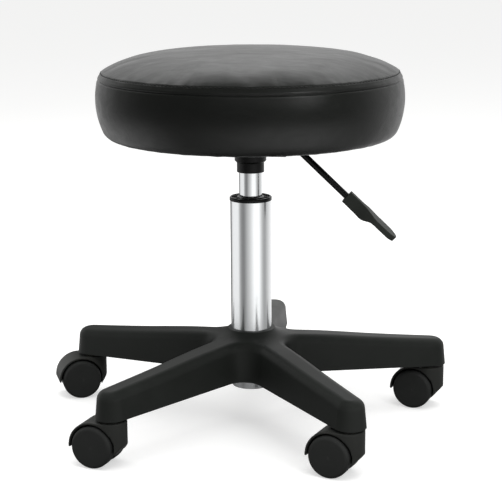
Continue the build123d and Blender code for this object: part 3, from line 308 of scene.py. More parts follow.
def grown(name, points, closed, tree, **inputs):
    """A piece grown by a node tree along a line of points, turned into a plain mesh."""
    count = len(points)
    edges = [(i, i + 1) for i in range(count - 1)] + ([(count - 1, 0)] if closed else [])
    line = bpy.data.meshes.new(name + "_line")
    line.from_pydata([tuple(p) for p in points], edges, [])
    piece = bpy.data.objects.new(name, line)
    bpy.context.scene.collection.objects.link(piece)
    maker = piece.modifiers.new("maker", "NODES")
    maker.node_group = tree
    for socket in tree.interface.items_tree:
        if socket.in_out == "INPUT" and socket.name.replace(" ", "_") in inputs:
            maker[socket.identifier] = inputs[socket.name.replace(" ", "_")]
    made = bpy.data.meshes.new_from_object(
        piece.evaluated_get(bpy.context.evaluated_depsgraph_get()))
    piece.modifiers.clear()
    piece.data = made
    made.shade_smooth()
    return piece


bead_tree = ripple_tree()
for side, edge in (("near", housing_low.y), ("far", housing_high.y)):
    start, end = housing_low.x + WELD_START, housing_high.x - WELD_END
    line = [(start + (end - start) * i / WELD_STEPS, edge, housing_high.z - WELD_DROP)
            for i in range(WELD_STEPS + 1)]
    weld = grown("weld_" + side, line, False, bead_tree, Spacing=WELD_PITCH,
                 Bead_Radius=WELD_BEAD, Finish=black_powder)
    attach(weld, "lift")


# ---- Height lever ----
# A bent 8 mm steel rod, dipped glossy black, rocks on a pin across the channel. The handle is
# a moulded grip pushed on to the rod's end, with a thinner blade to pull up on.
GRIP_SKIN, GRIP_ROUNDS = 0.6, 6
dress(powder_coat("black_stoved_enamel", "#080808", "#0d0d0d", 0.24), "lever_rod")
# Polypropylene with a fine spark texture: matt, and a little green beside the black rod.
grip_plastic = moulded("moulded_polypropylene", "#2b2e2b", "#343733", 0.50, 0.05, 0.8, 0.55, 1.49)
grip = soften("lever_paddle", "lever_grip", GRIP_SKIN, GRIP_ROUNDS)
grip.data.materials.append(grip_plastic)
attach(grip, "lever")
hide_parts("lever_paddle")


# ---- Seat board and foam ----
# A disc of seven-ply birch carries a block of polyurethane foam, cut with a rounded edge and
# glued down before the cover is pulled over it.
PLY_BAND, WOOD_GRAIN = 1.7 * MM, 2.2 * MM


def plywood(name, ply, dark):
    """Plywood: plies stacked through the thickness, with long grain on the faces."""
    material, tree, shader, where = start_material(name, IOR=1.5, Roughness=0.62)
    layers = add_node(tree, "ShaderNodeTexWave", {"Scale": 0.05 / PLY_BAND, "Distortion": 0.6},
                      {"Vector": where}, bands_direction="Z")
    grain_way = add_node(tree, "ShaderNodeMapping", {"Scale": (0.06, 1.0, 1.0)},
                         {"Vector": where})
    grain = add_node(tree, "ShaderNodeTexNoise", {"Scale": 1 / WOOD_GRAIN, "Detail": 5.0},
                     {"Vector": grain_way.outputs["Vector"]})
    both = add_node(tree, "ShaderNodeMath", {1: 0.5}, {0: layers.outputs["Fac"]},
                    operation="MULTIPLY")
    mixed = add_node(tree, "ShaderNodeMath", {2: 0.25},
                     {0: both.outputs[0], 1: grain.outputs["Fac"]}, operation="MULTIPLY_ADD")
    tone = add_node(tree, "ShaderNodeMix", {"A": linear(ply), "B": linear(dark)},
                    {"Factor": mixed.outputs[0]}, data_type="RGBA")
    bump = add_node(tree, "ShaderNodeBump", {"Strength": 0.4, "Distance": 0.1 * MM},
                    {"Height": grain.outputs["Fac"]})
    tree.links.new(tone.outputs["Result"], shader.inputs["Base Color"])
    tree.links.new(bump.outputs["Normal"], shader.inputs["Normal"])
    return material


dress(plywood("birch_plywood", "#c9a877", "#8f6a40"), "seat_board")

# The seat's outline from the inner edge of the turned-under cover to the crown: radius, height.
seat_low, seat_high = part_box("seat_cover")
UNDERSIDE = seat_low.z / MM
CROWN = seat_high.z / MM
OUTLINE = np.array([
    (145.0, 357.80), (151.0, 357.80), (157.0, 357.80), (161.0, 357.80), (164.0, 357.80),
    (165.96, 357.93), (167.88, 358.31), (169.74, 358.94), (171.5, 359.81), (173.14, 360.9),
    (174.61, 362.19), (175.91, 363.67), (177.0, 365.3), (178.8, 369.49), (180.4, 373.76),
    (181.8, 378.1), (182.99, 382.5), (183.97, 386.96), (184.74, 391.45), (185.28, 395.98),
    (185.6, 400.53), (185.7, 405.09), (185.57, 409.65), (185.21, 414.19), (184.59, 418.71),
    (183.69, 423.18), (182.48, 427.58), (180.91, 431.86), (179.0, 436.0), (172.44, 439.89),
    (165.64, 443.35), (158.64, 446.39), (151.47, 449.02), (144.18, 451.24), (136.78, 453.1),
    (129.3, 454.65), (121.78, 455.91), (114.22, 456.95), (106.64, 457.81), (99.04, 458.53),
    (91.44, 459.15), (83.83, 459.72), (76.22, 460.28), (68.61, 460.84), (60.99, 461.39),
    (53.38, 461.91), (45.76, 462.37), (38.14, 462.76), (30.52, 463.07), (22.89, 463.28),
    (15.26, 463.41), (7.63, 463.48), (0.0, 463.5)])
LENGTHS = np.r_[0, np.cumsum(np.hypot(*np.diff(OUTLINE, axis=0).T))]
# The outline turns in at its top edge, where the topstitch runs; the seam is lower on the side.
TOP_EDGE = 28
SEAM_HEIGHT = 427.58
SEAM_AT = float(np.interp(SEAM_HEIGHT, OUTLINE[:TOP_EDGE + 1, 1], LENGTHS[:TOP_EDGE + 1]))
TOPSTITCH_AT = float(LENGTHS[TOP_EDGE])
LOOK_AHEAD = 1.5


def on_outline(along, inset=0.0):
    """Radius and height of points along the outline, set in square to it."""
    here, ahead, behind = (
        np.stack([np.interp(along + shift, LENGTHS, OUTLINE[:, k]) for k in (0, 1)], -1)
        for shift in (0.0, LOOK_AHEAD, -LOOK_AHEAD))
    step = ahead - behind
    way = step / np.maximum(np.linalg.norm(step, axis=-1, keepdims=True), 1e-6)
    outwards = np.stack([way[:, 1], -way[:, 0]], -1)
    return here - inset * outwards, outwards


def turned_mesh(name, rows):
    """A mesh from rows of points round the column axis; the last row is one point."""
    rings, around = len(rows) - 1, len(rows[0])
    points = np.concatenate([*rows[:-1], rows[-1][:1]]) * MM
    faces = []
    for ring in range(rings - 1):
        low, high = ring * around, (ring + 1) * around
        faces += [(low + i, low + (i + 1) % around, high + (i + 1) % around, high + i)
                  for i in range(around)]
    top, tip = (rings - 1) * around, rings * around
    faces += [(top + i, top + (i + 1) % around, tip) for i in range(around)]
    mesh = bpy.data.meshes.new(name)
    mesh.from_pydata([tuple(p) for p in points], [], faces)
    mesh.validate()
    return mesh


def new_piece(name, mesh, material):
    """An object at the origin with one material, smooth shaded."""
    mesh.materials.append(material)
    mesh.shade_smooth()
    piece = bpy.data.objects.new(name, mesh)
    bpy.context.scene.collection.objects.link(piece)
    return piece


# Cloth simulation of the filled cover: held along its turned-under edge and pulled in at each
# staple, it swells against its own skin, and the uneven swelling shapes foam and cover alike.
STAPLES = 28
STAPLE_PULL = 1.5
PULLED_BELOW = 372
LUMP_SPAN, LUMP_HEIGHT = 55.0, 2.0
TOP_ABOVE = 440
FILLED_INSET = 3.0
FILLED_ROWS, FILLED_AROUND = 60, 160
CLOTH_VOXEL = 6 * MM
LIP_HELD = 6
SEAM_HELD = (423.6, 431.6)
SEAM_MIN_RADIUS = 0.17
SWELL_SHARE, SWELL_CAP = 0.35, 0.8
CALM_MIDDLE = 30.0


def swelling():
    """Places on the seat at rest, and how the filled cover moved there, in millimetres."""
    along = np.linspace(0, LENGTHS[-1], FILLED_ROWS)
    line, _ = on_outline(along, FILLED_INSET)
    angles = np.arange(FILLED_AROUND) * 2 * math.pi / FILLED_AROUND
    rows = []
    for radius, height in line:
        ring = []
        for angle in angles:
            x, y = radius * math.cos(angle), radius * math.sin(angle)
            lumps = noise.noise(Vector((x, y, height)) / LUMP_SPAN) * LUMP_HEIGHT
            pull = 0.0
            if height < PULLED_BELOW:
                pull = STAPLE_PULL * max(0.0, math.cos(STAPLES * angle)) ** 4
            scale = 1 + (lumps - pull) / max(radius, 40.0)
            rise = lumps * 0.5 if height > TOP_ABOVE else 0.0
            ring.append((x * scale, y * scale, height + rise))
        rows.append(np.array(ring))
    mesh = turned_mesh("filled_cover", rows)
    body = bpy.data.objects.new("filled_cover", mesh)
    bpy.context.scene.collection.objects.link(body)
    shape = bmesh.new()
    shape.from_mesh(mesh)
    bmesh.ops.holes_fill(shape, edges=[e for e in shape.edges if e.is_boundary])
    bmesh.ops.recalc_face_normals(shape, faces=shape.faces)
    shape.to_mesh(mesh)
    shape.free()
    remesh = body.modifiers.new("even_skin", "REMESH")
    remesh.mode, remesh.voxel_size = "VOXEL", CLOTH_VOXEL
    body.data = bpy.data.meshes.new_from_object(
        body.evaluated_get(bpy.context.evaluated_depsgraph_get()))
    body.modifiers.clear()
    held = body.vertex_groups.new(name="held")
    for point in body.data.vertices:
        height = point.co.z / MM
        if height < UNDERSIDE + LIP_HELD:
            held.add([point.index], 1.0, "ADD")
        elif (SEAM_HELD[0] < height < SEAM_HELD[1]
              and math.hypot(*point.co.xy) > SEAM_MIN_RADIUS):
            held.add([point.index], 0.25, "ADD")
    rest = np.array([point.co for point in body.data.vertices]) / MM
    cloth = body.modifiers.new("cloth", "CLOTH")
    cloth.settings.use_pressure = True
    cloth.settings.uniform_pressure_force = 4.0
    cloth.settings.effector_weights.gravity = 0.0
    cloth.settings.vertex_group_mass = "held"
    cloth.point_cache.frame_start, cloth.point_cache.frame_end = 1, 20
    for step in range(1, 21):
        bpy.context.scene.frame_set(step)
    now = body.evaluated_get(bpy.context.evaluated_depsgraph_get()).data
    moved = np.array([point.co for point in now.vertices]) / MM - rest
    bpy.context.scene.frame_set(1)
    body.modifiers.clear()
    bpy.data.objects.remove(body)
    return rest, moved


rest, moved = swelling()
places = kdtree.KDTree(max(len(rest), 1))
for index, place in enumerate(rest):
    places.insert(place, index)
places.balance()


def swell(line, outwards, around):
    """How far each point of rows round the seat is pushed out, in millimetres."""
    coarse = 180
    angles = np.arange(coarse) * 2 * math.pi / coarse
    pushed = np.zeros((len(line), around))
    if not len(rest):
        return pushed
    for row, ((radius, height), way) in enumerate(zip(line, outwards)):
        values = np.zeros(coarse)
        for i, angle in enumerate(angles):
            turn = np.array([math.cos(angle), math.sin(angle)])
            spot = (radius * turn[0], radius * turn[1], height)
            normal = np.array([way[0] * turn[0], way[0] * turn[1], way[1]])
            near = places.find_n(spot, 6)
            weights = np.array([1 / (distance + 1.0) for _, _, distance in near])
            shift = sum(w * moved[index] for w, (_, index, _) in zip(weights, near)) / weights.sum()
            values[i] = shift @ normal
        values -= values.mean()
        values = np.clip(SWELL_SHARE * values, -SWELL_CAP, SWELL_CAP)
        values *= min(1.0, radius / CALM_MIDDLE)
        wrapped = np.r_[values, values[:1]]
        pushed[row] = np.interp(np.arange(around) * coarse / around, np.arange(coarse + 1), wrapped)
    return pushed


def upright(rows_line, pushed, outwards, around):
    """Rows of points round the axis from an outline and a push outwards for each point."""
    angles = np.arange(around) * 2 * math.pi / around
    rows = []
    for (radius, height), push, way in zip(rows_line, pushed, outwards):
        out = radius + push * way[0]
        rows.append(np.stack([out * np.cos(angles), out * np.sin(angles),
                              height + push * way[1]], -1))
    return rows


# Cold-cure foam: cream, with open cells about 0.8 mm across, drawn at 1.5 mm so that they show.
foam, tree, shader, where = start_material("cold_cure_foam", Roughness=0.92, IOR=1.45)
cells = add_node(tree, "ShaderNodeTexVoronoi", {"Scale": 1 / (1.5 * MM)}, {"Vector": where})
age = add_node(tree, "ShaderNodeTexNoise", {"Scale": 1 / (60 * MM), "Detail": 3.0},
               {"Vector": where})
tone = add_node(tree, "ShaderNodeMix", {"A": linear("#e8ddb8"), "B": linear("#d3c08e")},
                {"Factor": age.outputs["Fac"]}, data_type="RGBA")
bump = add_node(tree, "ShaderNodeBump", {"Strength": 0.7, "Distance": 0.4 * MM},
                {"Height": cells.outputs["Distance"]})
tree.links.new(tone.outputs["Result"], shader.inputs["Base Color"])
tree.links.new(bump.outputs["Normal"], shader.inputs["Normal"])

# The block lies inside the cover and fits over the board with a little room for glue.
FOAM_INSET = 2.0
FOAM_AROUND = 240
GLUE_ROOM, EDGE_ROOM, SKIRT = 0.2, 0.4, 1.6
foam_along = np.r_[np.linspace(LENGTHS[4], LENGTHS[12], 8),
                   np.linspace(LENGTHS[13], LENGTHS[-1], 44)]
foam_line, foam_out = on_outline(foam_along, FOAM_INSET)
board_low, board_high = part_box("seat_board")
board_edge = (board_high.x - board_low.x) / 2 / MM + EDGE_ROOM
board_face = board_high.z / MM + GLUE_ROOM
glued = np.array([(0.001, board_face), (80.0, board_face), (board_edge, board_face),
                  (board_edge, board_low.z / MM + SKIRT)])
foam_push = np.r_[np.zeros((len(glued), FOAM_AROUND)), swell(foam_line, foam_out, FOAM_AROUND)]
foam_rows = upright(np.r_[glued, foam_line], foam_push,
                    np.r_[np.zeros((len(glued), 2)), foam_out], FOAM_AROUND)
foam_block = new_piece("foam_block", turned_mesh("foam_block", foam_rows), foam)
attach(foam_block, "lift")
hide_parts("seat_foam")


# ---- Seat cover ----
# Black coated fabric, cut as a round top panel and a side band. They are sewn face to face, turned,
# and stitched again through the turned edge; the band is pulled under the board and stapled.
STITCHES = 225
STITCH_LENGTH, THREAD_WIDTH, THREAD_LIFT = 4.1 * MM, 1.3 * MM, 0.2 * MM
AROUND = 4 * STITCHES
COVER_THICKNESS = 1.2
RUCK_HEIGHT, PLEAT_HEIGHT = 0.28, 0.7
angles = np.arange(AROUND) * 2 * math.pi / AROUND

# Polyurethane-coated fabric, embossed with a fine pebble and calendered: black, with a soft sheen
# that grows at low angles, tiny creases where it stretches, and cloudy changes of gloss.
vinyl, tree, shader, where = start_material("embossed_coated_fabric", IOR=1.5, Coat_Weight=0.05,
                                            Coat_Roughness=0.3, Specular_IOR_Level=0.42)
pebble = add_node(tree, "ShaderNodeTexVoronoi", {"Scale": 1 / (1.3 * MM), "Randomness": 1.0},
                  {"Vector": where}, feature="DISTANCE_TO_EDGE")
pores = add_node(tree, "ShaderNodeTexNoise", {"Scale": 1 / (0.5 * MM), "Detail": 2.0},
                 {"Vector": where})
drag = add_node(tree, "ShaderNodeMapping", {"Scale": (0.35, 1.0, 1.0), "Rotation": (0, 0, 0.2)},
                {"Vector": where})
creases = add_node(tree, "ShaderNodeTexNoise",
                   {"Scale": 1 / (16 * MM), "Detail": 6.0, "Roughness": 0.62, "Distortion": 0.9},
                   {"Vector": drag.outputs["Vector"]})
cloud = add_node(tree, "ShaderNodeTexNoise", {"Scale": 1 / (45 * MM), "Detail": 5.0},
                 {"Vector": where})
tone = add_node(tree, "ShaderNodeMix", {"A": linear("#0d0f0d"), "B": linear("#141613")},
                {"Factor": cloud.outputs["Fac"]}, data_type="RGBA")
gloss = add_node(tree, "ShaderNodeMapRange",
                 {"From Min": 0.3, "From Max": 0.7, "To Min": 0.34, "To Max": 0.46},
                 {"Value": creases.outputs["Fac"]})
embossed = add_node(tree, "ShaderNodeMapRange", {"From Max": 0.35},
                    {"Value": pebble.outputs["Distance"]})
grain = add_node(tree, "ShaderNodeBump", {"Strength": 0.22, "Distance": 0.10 * MM},
                 {"Height": embossed.outputs["Result"]})
pitted = add_node(tree, "ShaderNodeBump", {"Strength": 0.15, "Distance": 0.04 * MM},
                  {"Height": pores.outputs["Fac"], "Normal": grain.outputs["Normal"]})
wrinkled = add_node(tree, "ShaderNodeBump", {"Strength": 0.20, "Distance": 0.9 * MM},
                    {"Height": creases.outputs["Fac"], "Normal": pitted.outputs["Normal"]})
tree.links.new(tone.outputs["Result"], shader.inputs["Base Color"])
tree.links.new(gloss.outputs["Result"], shader.inputs["Roughness"])
tree.links.new(wrinkled.outputs["Normal"], shader.inputs["Normal"])

outer_along = np.unique(np.round(np.r_[
    np.linspace(0, LENGTHS[4], 5), np.linspace(LENGTHS[4], LENGTHS[12], 8),
    np.linspace(LENGTHS[12], SEAM_AT - 4, 13), SEAM_AT + np.linspace(-3, 3, 11),
    np.linspace(SEAM_AT + 3.6, TOPSTITCH_AT - 2.2, 4), TOPSTITCH_AT + np.linspace(-1.8, 2.4, 8),
    TOPSTITCH_AT + np.array([3.5, 5.0, 7.5, 11.0]),
    np.linspace(TOPSTITCH_AT + 16, LENGTHS[-1], 26)], 3))
line, outwards = on_outline(outer_along)
from_seam = outer_along - SEAM_AT
from_stitch = outer_along - TOPSTITCH_AT


def ridge(from_middle, height, width):
    """A rounded ridge along a sewn line, or a groove where its height is below zero."""
    return height * np.exp(-(from_middle / width) ** 2)


# The seam is a sharp groove between two soft rolls; the topstitch sinks in, most at each hole.
relief = (ridge(from_seam, -1.5, 0.75) + ridge(from_seam - 2.6, 0.55, 2.0)
          + ridge(from_seam + 2.6, 0.35, 2.2) + ridge(from_stitch, -0.75, 1.1))
pushed = swell(line, outwards, AROUND) + relief[:, None]
needle = 0.5 + 0.5 * np.cos(STITCHES * angles)
pushed -= ridge(from_stitch, 0.30, 1.6)[:, None] * needle[None]
# Small rucks run in from the topstitch, and longer pleats round the turned-under edge.
ruck = np.array([noise.noise(Vector((math.cos(a), math.sin(a), 0.3)) * 26) for a in angles])
ruck_far = np.where(from_stitch > 0, np.exp(-from_stitch / 9), np.exp(from_stitch / 3))
pushed += RUCK_HEIGHT * ruck_far[:, None] * ruck[None]
pleat = np.array([noise.noise(Vector((math.cos(a), math.sin(a), 1.7)) * 17) for a in angles])
under = np.clip((LENGTHS[11] - outer_along) / (LENGTHS[11] - LENGTHS[2]), 0, 1)
flat = np.clip((LENGTHS[2] - outer_along) / 4.0, 0, 1)
pushed += PLEAT_HEIGHT * (under * (1 - flat))[:, None] * pleat[None]

inner_along = np.r_[np.linspace(LENGTHS[-1] - 0.5, TOPSTITCH_AT, 7), np.linspace(SEAM_AT, 0, 8)]
inner_line, inner_out = on_outline(inner_along, COVER_THICKNESS)
inner_push = swell(inner_line, inner_out, AROUND)
crown_point = np.array([[0.0, 0.0, CROWN - COVER_THICKNESS]])
rows = upright(inner_line[::-1], inner_push[::-1], inner_out[::-1], AROUND)
outer_rows = upright(line, pushed, outwards, AROUND)


def closed_cover():
    """The cover's outer skin and inner face joined at the turned-under edge."""
    outside = turned_mesh("outer_skin", outer_rows)
    inside = turned_mesh("inner_face", rows + [np.repeat(crown_point, AROUND, 0)])
    shape = bmesh.new()
    shape.from_mesh(outside)
    shape.from_mesh(inside)
    shape.verts.ensure_lookup_table()
    second = list(shape.verts)[len(outside.vertices):len(outside.vertices) + AROUND]
    for i in range(AROUND):
        j = (i + 1) % AROUND
        shape.faces.new((shape.verts[i], shape.verts[j], second[j], second[i]))
    bmesh.ops.recalc_face_normals(shape, faces=shape.faces)
    mesh = bpy.data.meshes.new("seat_upholstery")
    shape.to_mesh(mesh)
    shape.free()
    return mesh


upholstery = new_piece("seat_upholstery", closed_cover(), vinyl)
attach(upholstery, "lift")
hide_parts("seat_cover")

# Bonded polyester thread, 0.7 mm thick and drawn at 1.3 mm so that it shows: dull black, with
# the twist of its plies.
thread, tree, shader, where = start_material("bonded_polyester_thread", Roughness=0.6, IOR=1.5)
ply = add_node(tree, "ShaderNodeTexNoise", {"Scale": 1 / (0.4 * MM), "Detail": 2.0},
               {"Vector": where})
tone = add_node(tree, "ShaderNodeMix", {"A": linear("#101010"), "B": linear("#20211f")},
                {"Factor": ply.outputs["Fac"]}, data_type="RGBA")
bump = add_node(tree, "ShaderNodeBump", {"Strength": 0.6, "Distance": 0.1 * MM},
                {"Height": ply.outputs["Fac"]})
tree.links.new(tone.outputs["Result"], shader.inputs["Base Color"])
tree.links.new(bump.outputs["Normal"], shader.inputs["Normal"])


def stitch_tree():
    """Lays one stitch at each point of a sewn line, along the line."""
    tree = bpy.data.node_groups.new("lockstitch", "GeometryNodeTree")
    face = tree.interface
    face.new_socket("Line", in_out="INPUT", socket_type="NodeSocketGeometry")
    for name in ("Stitch Length", "Thread Width"):
        face.new_socket(name, in_out="INPUT", socket_type="NodeSocketFloat")
    face.new_socket("Stitch Count", in_out="INPUT", socket_type="NodeSocketInt")
    face.new_socket("Thread", in_out="INPUT", socket_type="NodeSocketMaterial")
    face.new_socket("Stitches", in_out="OUTPUT", socket_type="NodeSocketGeometry")
    given = add_node(tree, "NodeGroupInput").outputs
    path = add_node(tree, "GeometryNodeMeshToCurve", links={"Mesh": given["Line"]})
    points = add_node(tree, "GeometryNodeCurveToPoints",
                      links={"Curve": path.outputs["Curve"], "Count": given["Stitch Count"]},
                      mode="COUNT")
    bead = add_node(tree, "GeometryNodeMeshUVSphere", {"Segments": 8, "Rings": 6, "Radius": 0.5})
    size = add_node(tree, "ShaderNodeCombineXYZ",
                    links={"X": given["Thread Width"], "Y": given["Thread Width"],
                           "Z": given["Stitch Length"]})
    laid = add_node(tree, "GeometryNodeInstanceOnPoints",
                    links={"Points": points.outputs["Points"], "Instance": bead.outputs["Mesh"],
                           "Rotation": points.outputs["Rotation"],
                           "Scale": size.outputs["Vector"]})
    real = add_node(tree, "GeometryNodeRealizeInstances",
                    links={"Geometry": laid.outputs["Instances"]})
    done = add_node(tree, "GeometryNodeSetMaterial",
                    links={"Geometry": real.outputs["Geometry"], "Material": given["Thread"]})
    add_node(tree, "NodeGroupOutput", links={"Stitches": done.outputs["Geometry"]})
    return tree


stitch_row = outer_rows[int(np.argmin(np.abs(from_stitch)))] * MM
raised = stitch_row + np.stack([np.cos(angles), np.sin(angles), np.ones(AROUND)], -1) * THREAD_LIFT
topstitch = grown("topstitch", raised, True, stitch_tree(), Stitch_Length=STITCH_LENGTH,
                  Thread_Width=THREAD_WIDTH, Stitch_Count=STITCHES, Thread=thread)
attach(topstitch, "lift")


# ---- Dust cover ----
# Non-woven polypropylene, point bonded in a diamond pattern, stretched over the board's underside,
# clamped below the plate and stapled through the cover's turned-under edge.
bonded, tree, shader, where = start_material("point_bonded_polypropylene", Roughness=0.85, IOR=1.49)
turned = add_node(tree, "ShaderNodeMapping", {"Rotation": (0, 0, math.radians(45))},
                  {"Vector": where})
# Bond points 1.2 mm apart are drawn at 2.4 mm, so that they show.
bonds = add_node(tree, "ShaderNodeTexVoronoi", {"Scale": 1 / (2.4 * MM), "Randomness": 0.0},
                 {"Vector": turned.outputs["Vector"]}, voronoi_dimensions="2D")
fibres = add_node(tree, "ShaderNodeTexNoise", {"Scale": 1 / (0.5 * MM), "Detail": 4.0,
                  "Distortion": 2.0}, {"Vector": where})
tone = add_node(tree, "ShaderNodeMix", {"A": linear("#151515"), "B": linear("#2a2a29")},
                {"Factor": fibres.outputs["Fac"]}, data_type="RGBA")
pressed = add_node(tree, "ShaderNodeMapRange", {"From Min": 0.15, "From Max": 0.32},
                   {"Value": bonds.outputs["Distance"]})
dots = add_node(tree, "ShaderNodeBump", {"Strength": 0.8, "Distance": 0.2 * MM},
                {"Height": pressed.outputs["Result"]})
fuzz = add_node(tree, "ShaderNodeBump", {"Strength": 0.5, "Distance": 0.1 * MM},
                {"Height": fibres.outputs["Fac"], "Normal": dots.outputs["Normal"]})
tree.links.new(tone.outputs["Result"], shader.inputs["Base Color"])
tree.links.new(fuzz.outputs["Normal"], shader.inputs["Normal"])

dust_low, dust_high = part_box("dust_cover")
DUST_RADIUS = (dust_high.x - dust_low.x) / 2 / MM
CLAMPED_RADIUS, LIP_RADIUS = 106, 145
LIP_DROP, SAG, DROOP = 1.2, 0.35, 0.5
GATHER = 0.9
SHEET_THICKNESS = 0.5
radii = np.r_[np.linspace(0.01, CLAMPED_RADIUS, 6), np.linspace(110, 143, 9),
              np.linspace(LIP_RADIUS, DUST_RADIUS, 8)]
sheet_angles = np.arange(12 * STAPLES) * 2 * math.pi / (12 * STAPLES)


def sheet_face(drop):
    """One face of the stretched sheet, from its edge to the middle, drop below its top face."""
    made = []
    for radius in radii[::-1]:
        span = np.clip((radius - CLAMPED_RADIUS) / (LIP_RADIUS - CLAMPED_RADIUS), 0, 1)
        height = dust_high.z / MM - LIP_DROP * (3 * span ** 2 - 2 * span ** 3)
        sag = SAG * math.sin(math.pi * span)
        between = 0.5 - 0.5 * np.cos(STAPLES * sheet_angles)
        droop = DROOP * np.clip((radius - 151) / 5, 0, 1) * between
        out = radius - GATHER * (radius > 154) * between
        made.append(np.stack([out * np.cos(sheet_angles), out * np.sin(sheet_angles),
                              height - sag - droop - drop], -1))
    return made


sheet_rows = sheet_face(0.0)[::-1] + sheet_face(SHEET_THICKNESS)
dust_mesh = turned_mesh("dust_sheet", sheet_rows)
shape = bmesh.new()
shape.from_mesh(dust_mesh)
bmesh.ops.remove_doubles(shape, verts=shape.verts, dist=0.02 * MM)
bmesh.ops.recalc_face_normals(shape, faces=shape.faces)
shape.to_mesh(dust_mesh)
shape.free()
dust_sheet = new_piece("dust_sheet", dust_mesh, bonded)
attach(dust_sheet, "lift")
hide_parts("dust_cover")
dress(zinc_plate, "staples")


# ---- Studio ----
# A plain white sweep under a wide overhead softbox. Grey and white cards stand round the stool,
# seen only in reflections, so that the chrome shows upright bands and the seat's front stays dark.
VIEW_TURN = math.radians(7.77)
VIEW_DIP = math.radians(12.82)
VIEW_ROLL = math.radians(-0.32)
VIEW_DISTANCE, VIEW_HEIGHT = 1.8165, 0.6276
camera = bpy.data.objects.new("camera", bpy.data.cameras.new("camera"))
bpy.context.scene.collection.objects.link(camera)
camera.data.sensor_width = 36.0
camera.data.lens = 108.57
forward = Vector((-math.sin(VIEW_TURN) * math.cos(VIEW_DIP),
                  math.cos(VIEW_TURN) * math.cos(VIEW_DIP), -math.sin(VIEW_DIP)))
right = Vector((math.cos(VIEW_TURN), math.sin(VIEW_TURN), 0))
up = right.cross(forward)
across = math.cos(VIEW_ROLL) * right + math.sin(VIEW_ROLL) * up
upward = math.cos(VIEW_ROLL) * up - math.sin(VIEW_ROLL) * right
camera.matrix_world = Matrix.Translation(
    (VIEW_DISTANCE * math.sin(VIEW_TURN), -VIEW_DISTANCE * math.cos(VIEW_TURN), VIEW_HEIGHT)
) @ Matrix((across, upward, -forward)).transposed().to_4x4()
bpy.context.scene.camera = camera
bpy.context.scene.view_settings.view_transform = "Standard"

# Matt white paint on the sweep.
paint, tree, shader, where = start_material("matt_white_paint", Roughness=1.0, IOR=1.45,
                                            Emission_Strength=0.5)
shader.inputs["Base Color"].default_value = linear("#d0d0cf")
shader.inputs["Emission Color"].default_value = (1.0, 1.0, 1.0, 1.0)
shader.inputs["Specular IOR Level"].default_value = 0.0
clear = add_node(tree, "ShaderNodeBsdfTransparent")
behind = add_node(tree, "ShaderNodeNewGeometry")
one_sided = add_node(tree, "ShaderNodeMixShader", links={
    0: behind.outputs["Backfacing"], 1: shader.outputs["BSDF"], 2: clear.outputs["BSDF"]})
tree.links.new(one_sided.outputs["Shader"], tree.nodes["Material Output"].inputs["Surface"])
sweep_mesh = bpy.data.meshes.new("sweep")
sweep_mesh.from_pydata([(-9, -9, 0), (9, -9, 0), (9, 12, 0), (-9, 12, 0)], [], [(0, 1, 2, 3)])
sweep_mesh.materials.append(paint)
sweep = bpy.data.objects.new("sweep", sweep_mesh)
bpy.context.scene.collection.objects.link(sweep)
sweep.visible_diffuse = False
sweep.visible_glossy = False

# A grey card under the sweep takes its place in reflections, so that undersides stay dark.
grey_card, tree, shader, where = start_material("matt_grey_card", Roughness=1.0)
shader.inputs["Base Color"].default_value = linear("#848484")
shader.inputs["Specular IOR Level"].default_value = 0.0
under_mesh = bpy.data.meshes.new("under_card")
under_mesh.from_pydata([(-3, -3, -0.002), (3, -3, -0.002), (3, 3, -0.002), (-3, 3, -0.002)], [],
                       [(0, 1, 2, 3)])
under_mesh.materials.append(grey_card)
under_card = bpy.data.objects.new("under_card", under_mesh)
bpy.context.scene.collection.objects.link(under_card)
under_card.visible_camera = False
under_card.visible_shadow = False

# Card brightness by angle to the right of the camera's line. The low cards stand beside the column
# and the others beside the seat, where one narrow bright strip gives its front edge a glint.
CARD_RADIUS = 0.46
CARDS_AROUND = 120
LID_HEIGHT, LID_LIGHT = 1.4, 0.08
LOW_CARDS = [(-180, 0.16), (-142, 0.18), (-130, 0.7), (-120, 1.0), (-74, 1.05), (-62, 0.45),
             (-52, 0.30), (-43, 0.24), (-35, 0.28), (-23, 0.50), (-11, 0.68), (0, 0.87),
             (11, 1.12), (17, 1.3),
             (47, 1.3), (53, 0.96), (60, 0.78), (67, 0.56), (74, 0.46), (80, 0.42), (89, 0.46),
             (96, 0.60), (106, 0.70), (114, 0.80), (126, 0.90), (140, 1.02), (157, 1.1), (180, 1.1)]
HIGH_CARDS = [(-180, 1.0), (-130, 1.0), (-100, 0.45), (-72, 0.12), (0, 0.06), (60, 0.14),
              (85, 0.5), (110, 1.0), (180, 1.05)]
GLINT_CARDS = [(-180, 1.0), (-130, 1.0), (-100, 0.45), (-72, 0.12), (-22, 0.12), (-10, 0.6),
               (22, 0.6), (29, 0.9), (31, 6.0), (36, 6.0), (38, 0.3), (60, 0.14), (85, 0.5),
               (110, 1.0), (180, 1.05)]
UPPER_CARDS = [(-180, 2.6), (-128, 2.2), (-98, 0.4), (-72, 0.12), (0, 0.06), (60, 0.14),
               (88, 0.45), (116, 2.2), (180, 2.6)]
DARK_CARDS = [(-180, 0.12), (180, 0.12)]
card_levels = [(-0.02, LOW_CARDS), (0.24, LOW_CARDS), (0.30, HIGH_CARDS), (0.46, HIGH_CARDS),
               (0.50, GLINT_CARDS), (0.64, GLINT_CARDS), (0.70, HIGH_CARDS), (0.90, UPPER_CARDS),
               (1.12, UPPER_CARDS), (1.28, DARK_CARDS), (LID_HEIGHT, DARK_CARDS)]
card_points, card_light = [], []
for height, table in card_levels:
    for degree in range(-180, 180, 360 // CARDS_AROUND):
        turn = VIEW_TURN + math.radians(degree)
        card_points.append((CARD_RADIUS * math.sin(turn), -CARD_RADIUS * math.cos(turn), height))
        card_light.append(float(np.interp(degree, *zip(*table))))
card_faces = []
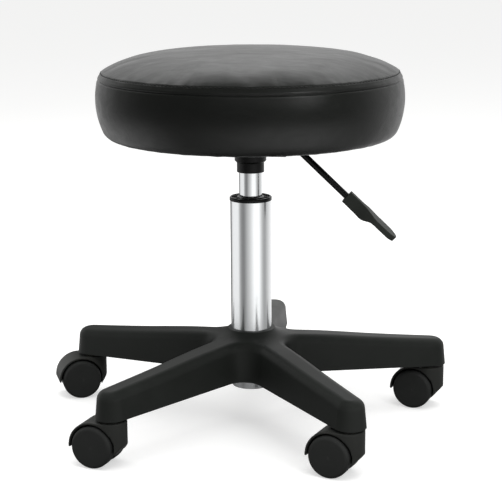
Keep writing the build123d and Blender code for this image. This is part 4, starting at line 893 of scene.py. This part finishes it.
for low in range(0, len(card_points) - CARDS_AROUND, CARDS_AROUND):
    for i in range(CARDS_AROUND):
        j = (i + 1) % CARDS_AROUND
        card_faces.append((low + i, low + j, low + CARDS_AROUND + j, low + CARDS_AROUND + i))
lid = len(card_points)
card_points.append((0, 0, LID_HEIGHT))
card_light.append(LID_LIGHT)
top_row = lid - CARDS_AROUND
card_faces += [(top_row + i, top_row + (i + 1) % CARDS_AROUND, lid) for i in range(CARDS_AROUND)]
card_mesh = bpy.data.meshes.new("cards")
card_mesh.from_pydata(card_points, [], card_faces)
shade = card_mesh.color_attributes.new("light", "FLOAT_COLOR", "POINT")
for spot, value in zip(shade.data, card_light):
    spot.color = (value, value, value, 1.0)
glow = bpy.data.materials.new("lit_card")
glow.use_nodes = True
glow.node_tree.nodes.clear()
painted = add_node(glow.node_tree, "ShaderNodeAttribute", attribute_name="light")
emit = add_node(glow.node_tree, "ShaderNodeEmission", links={"Color": painted.outputs["Color"]})
add_node(glow.node_tree, "ShaderNodeOutputMaterial", links={"Surface": emit.outputs["Emission"]})
card_mesh.materials.append(glow)
cards = bpy.data.objects.new("cards", card_mesh)
bpy.context.scene.collection.objects.link(cards)
cards.visible_camera = False
cards.visible_diffuse = False
cards.visible_shadow = False
cards.visible_transmission = False


def softbox(name, place, aim, width, depth, power):
    """A soft light at a place, turned to face a point and left out of reflections."""
    lamp = bpy.data.lights.new(name, "AREA")
    lamp.shape, lamp.size, lamp.size_y, lamp.energy = "RECTANGLE", width, depth, power
    holder = bpy.data.objects.new(name, lamp)
    bpy.context.scene.collection.objects.link(holder)
    holder.location = place
    holder.visible_glossy = False
    holder.rotation_euler = (Vector(aim) - Vector(place)).to_track_quat("-Z", "Y").to_euler()


softbox("overhead", (0.1, -0.1, 2.2), (0, 0, 0.3), 2.2, 2.2, 42)
softbox("right_front", (1.3, -1.5, 1.5), (0, 0, 0.35), 0.9, 0.9, 15)
softbox("left_back", (-1.6, 1.1, 1.3), (0, 0, 0.3), 1.0, 1.0, 10)

world = bpy.data.worlds.new("white_room")
bpy.context.scene.world = world
world.use_nodes = True
room = world.node_tree
room.nodes["Background"].inputs["Color"].default_value = (1.0, 1.0, 1.0, 1.0)
room.nodes["Background"].inputs["Strength"].default_value = 0.62
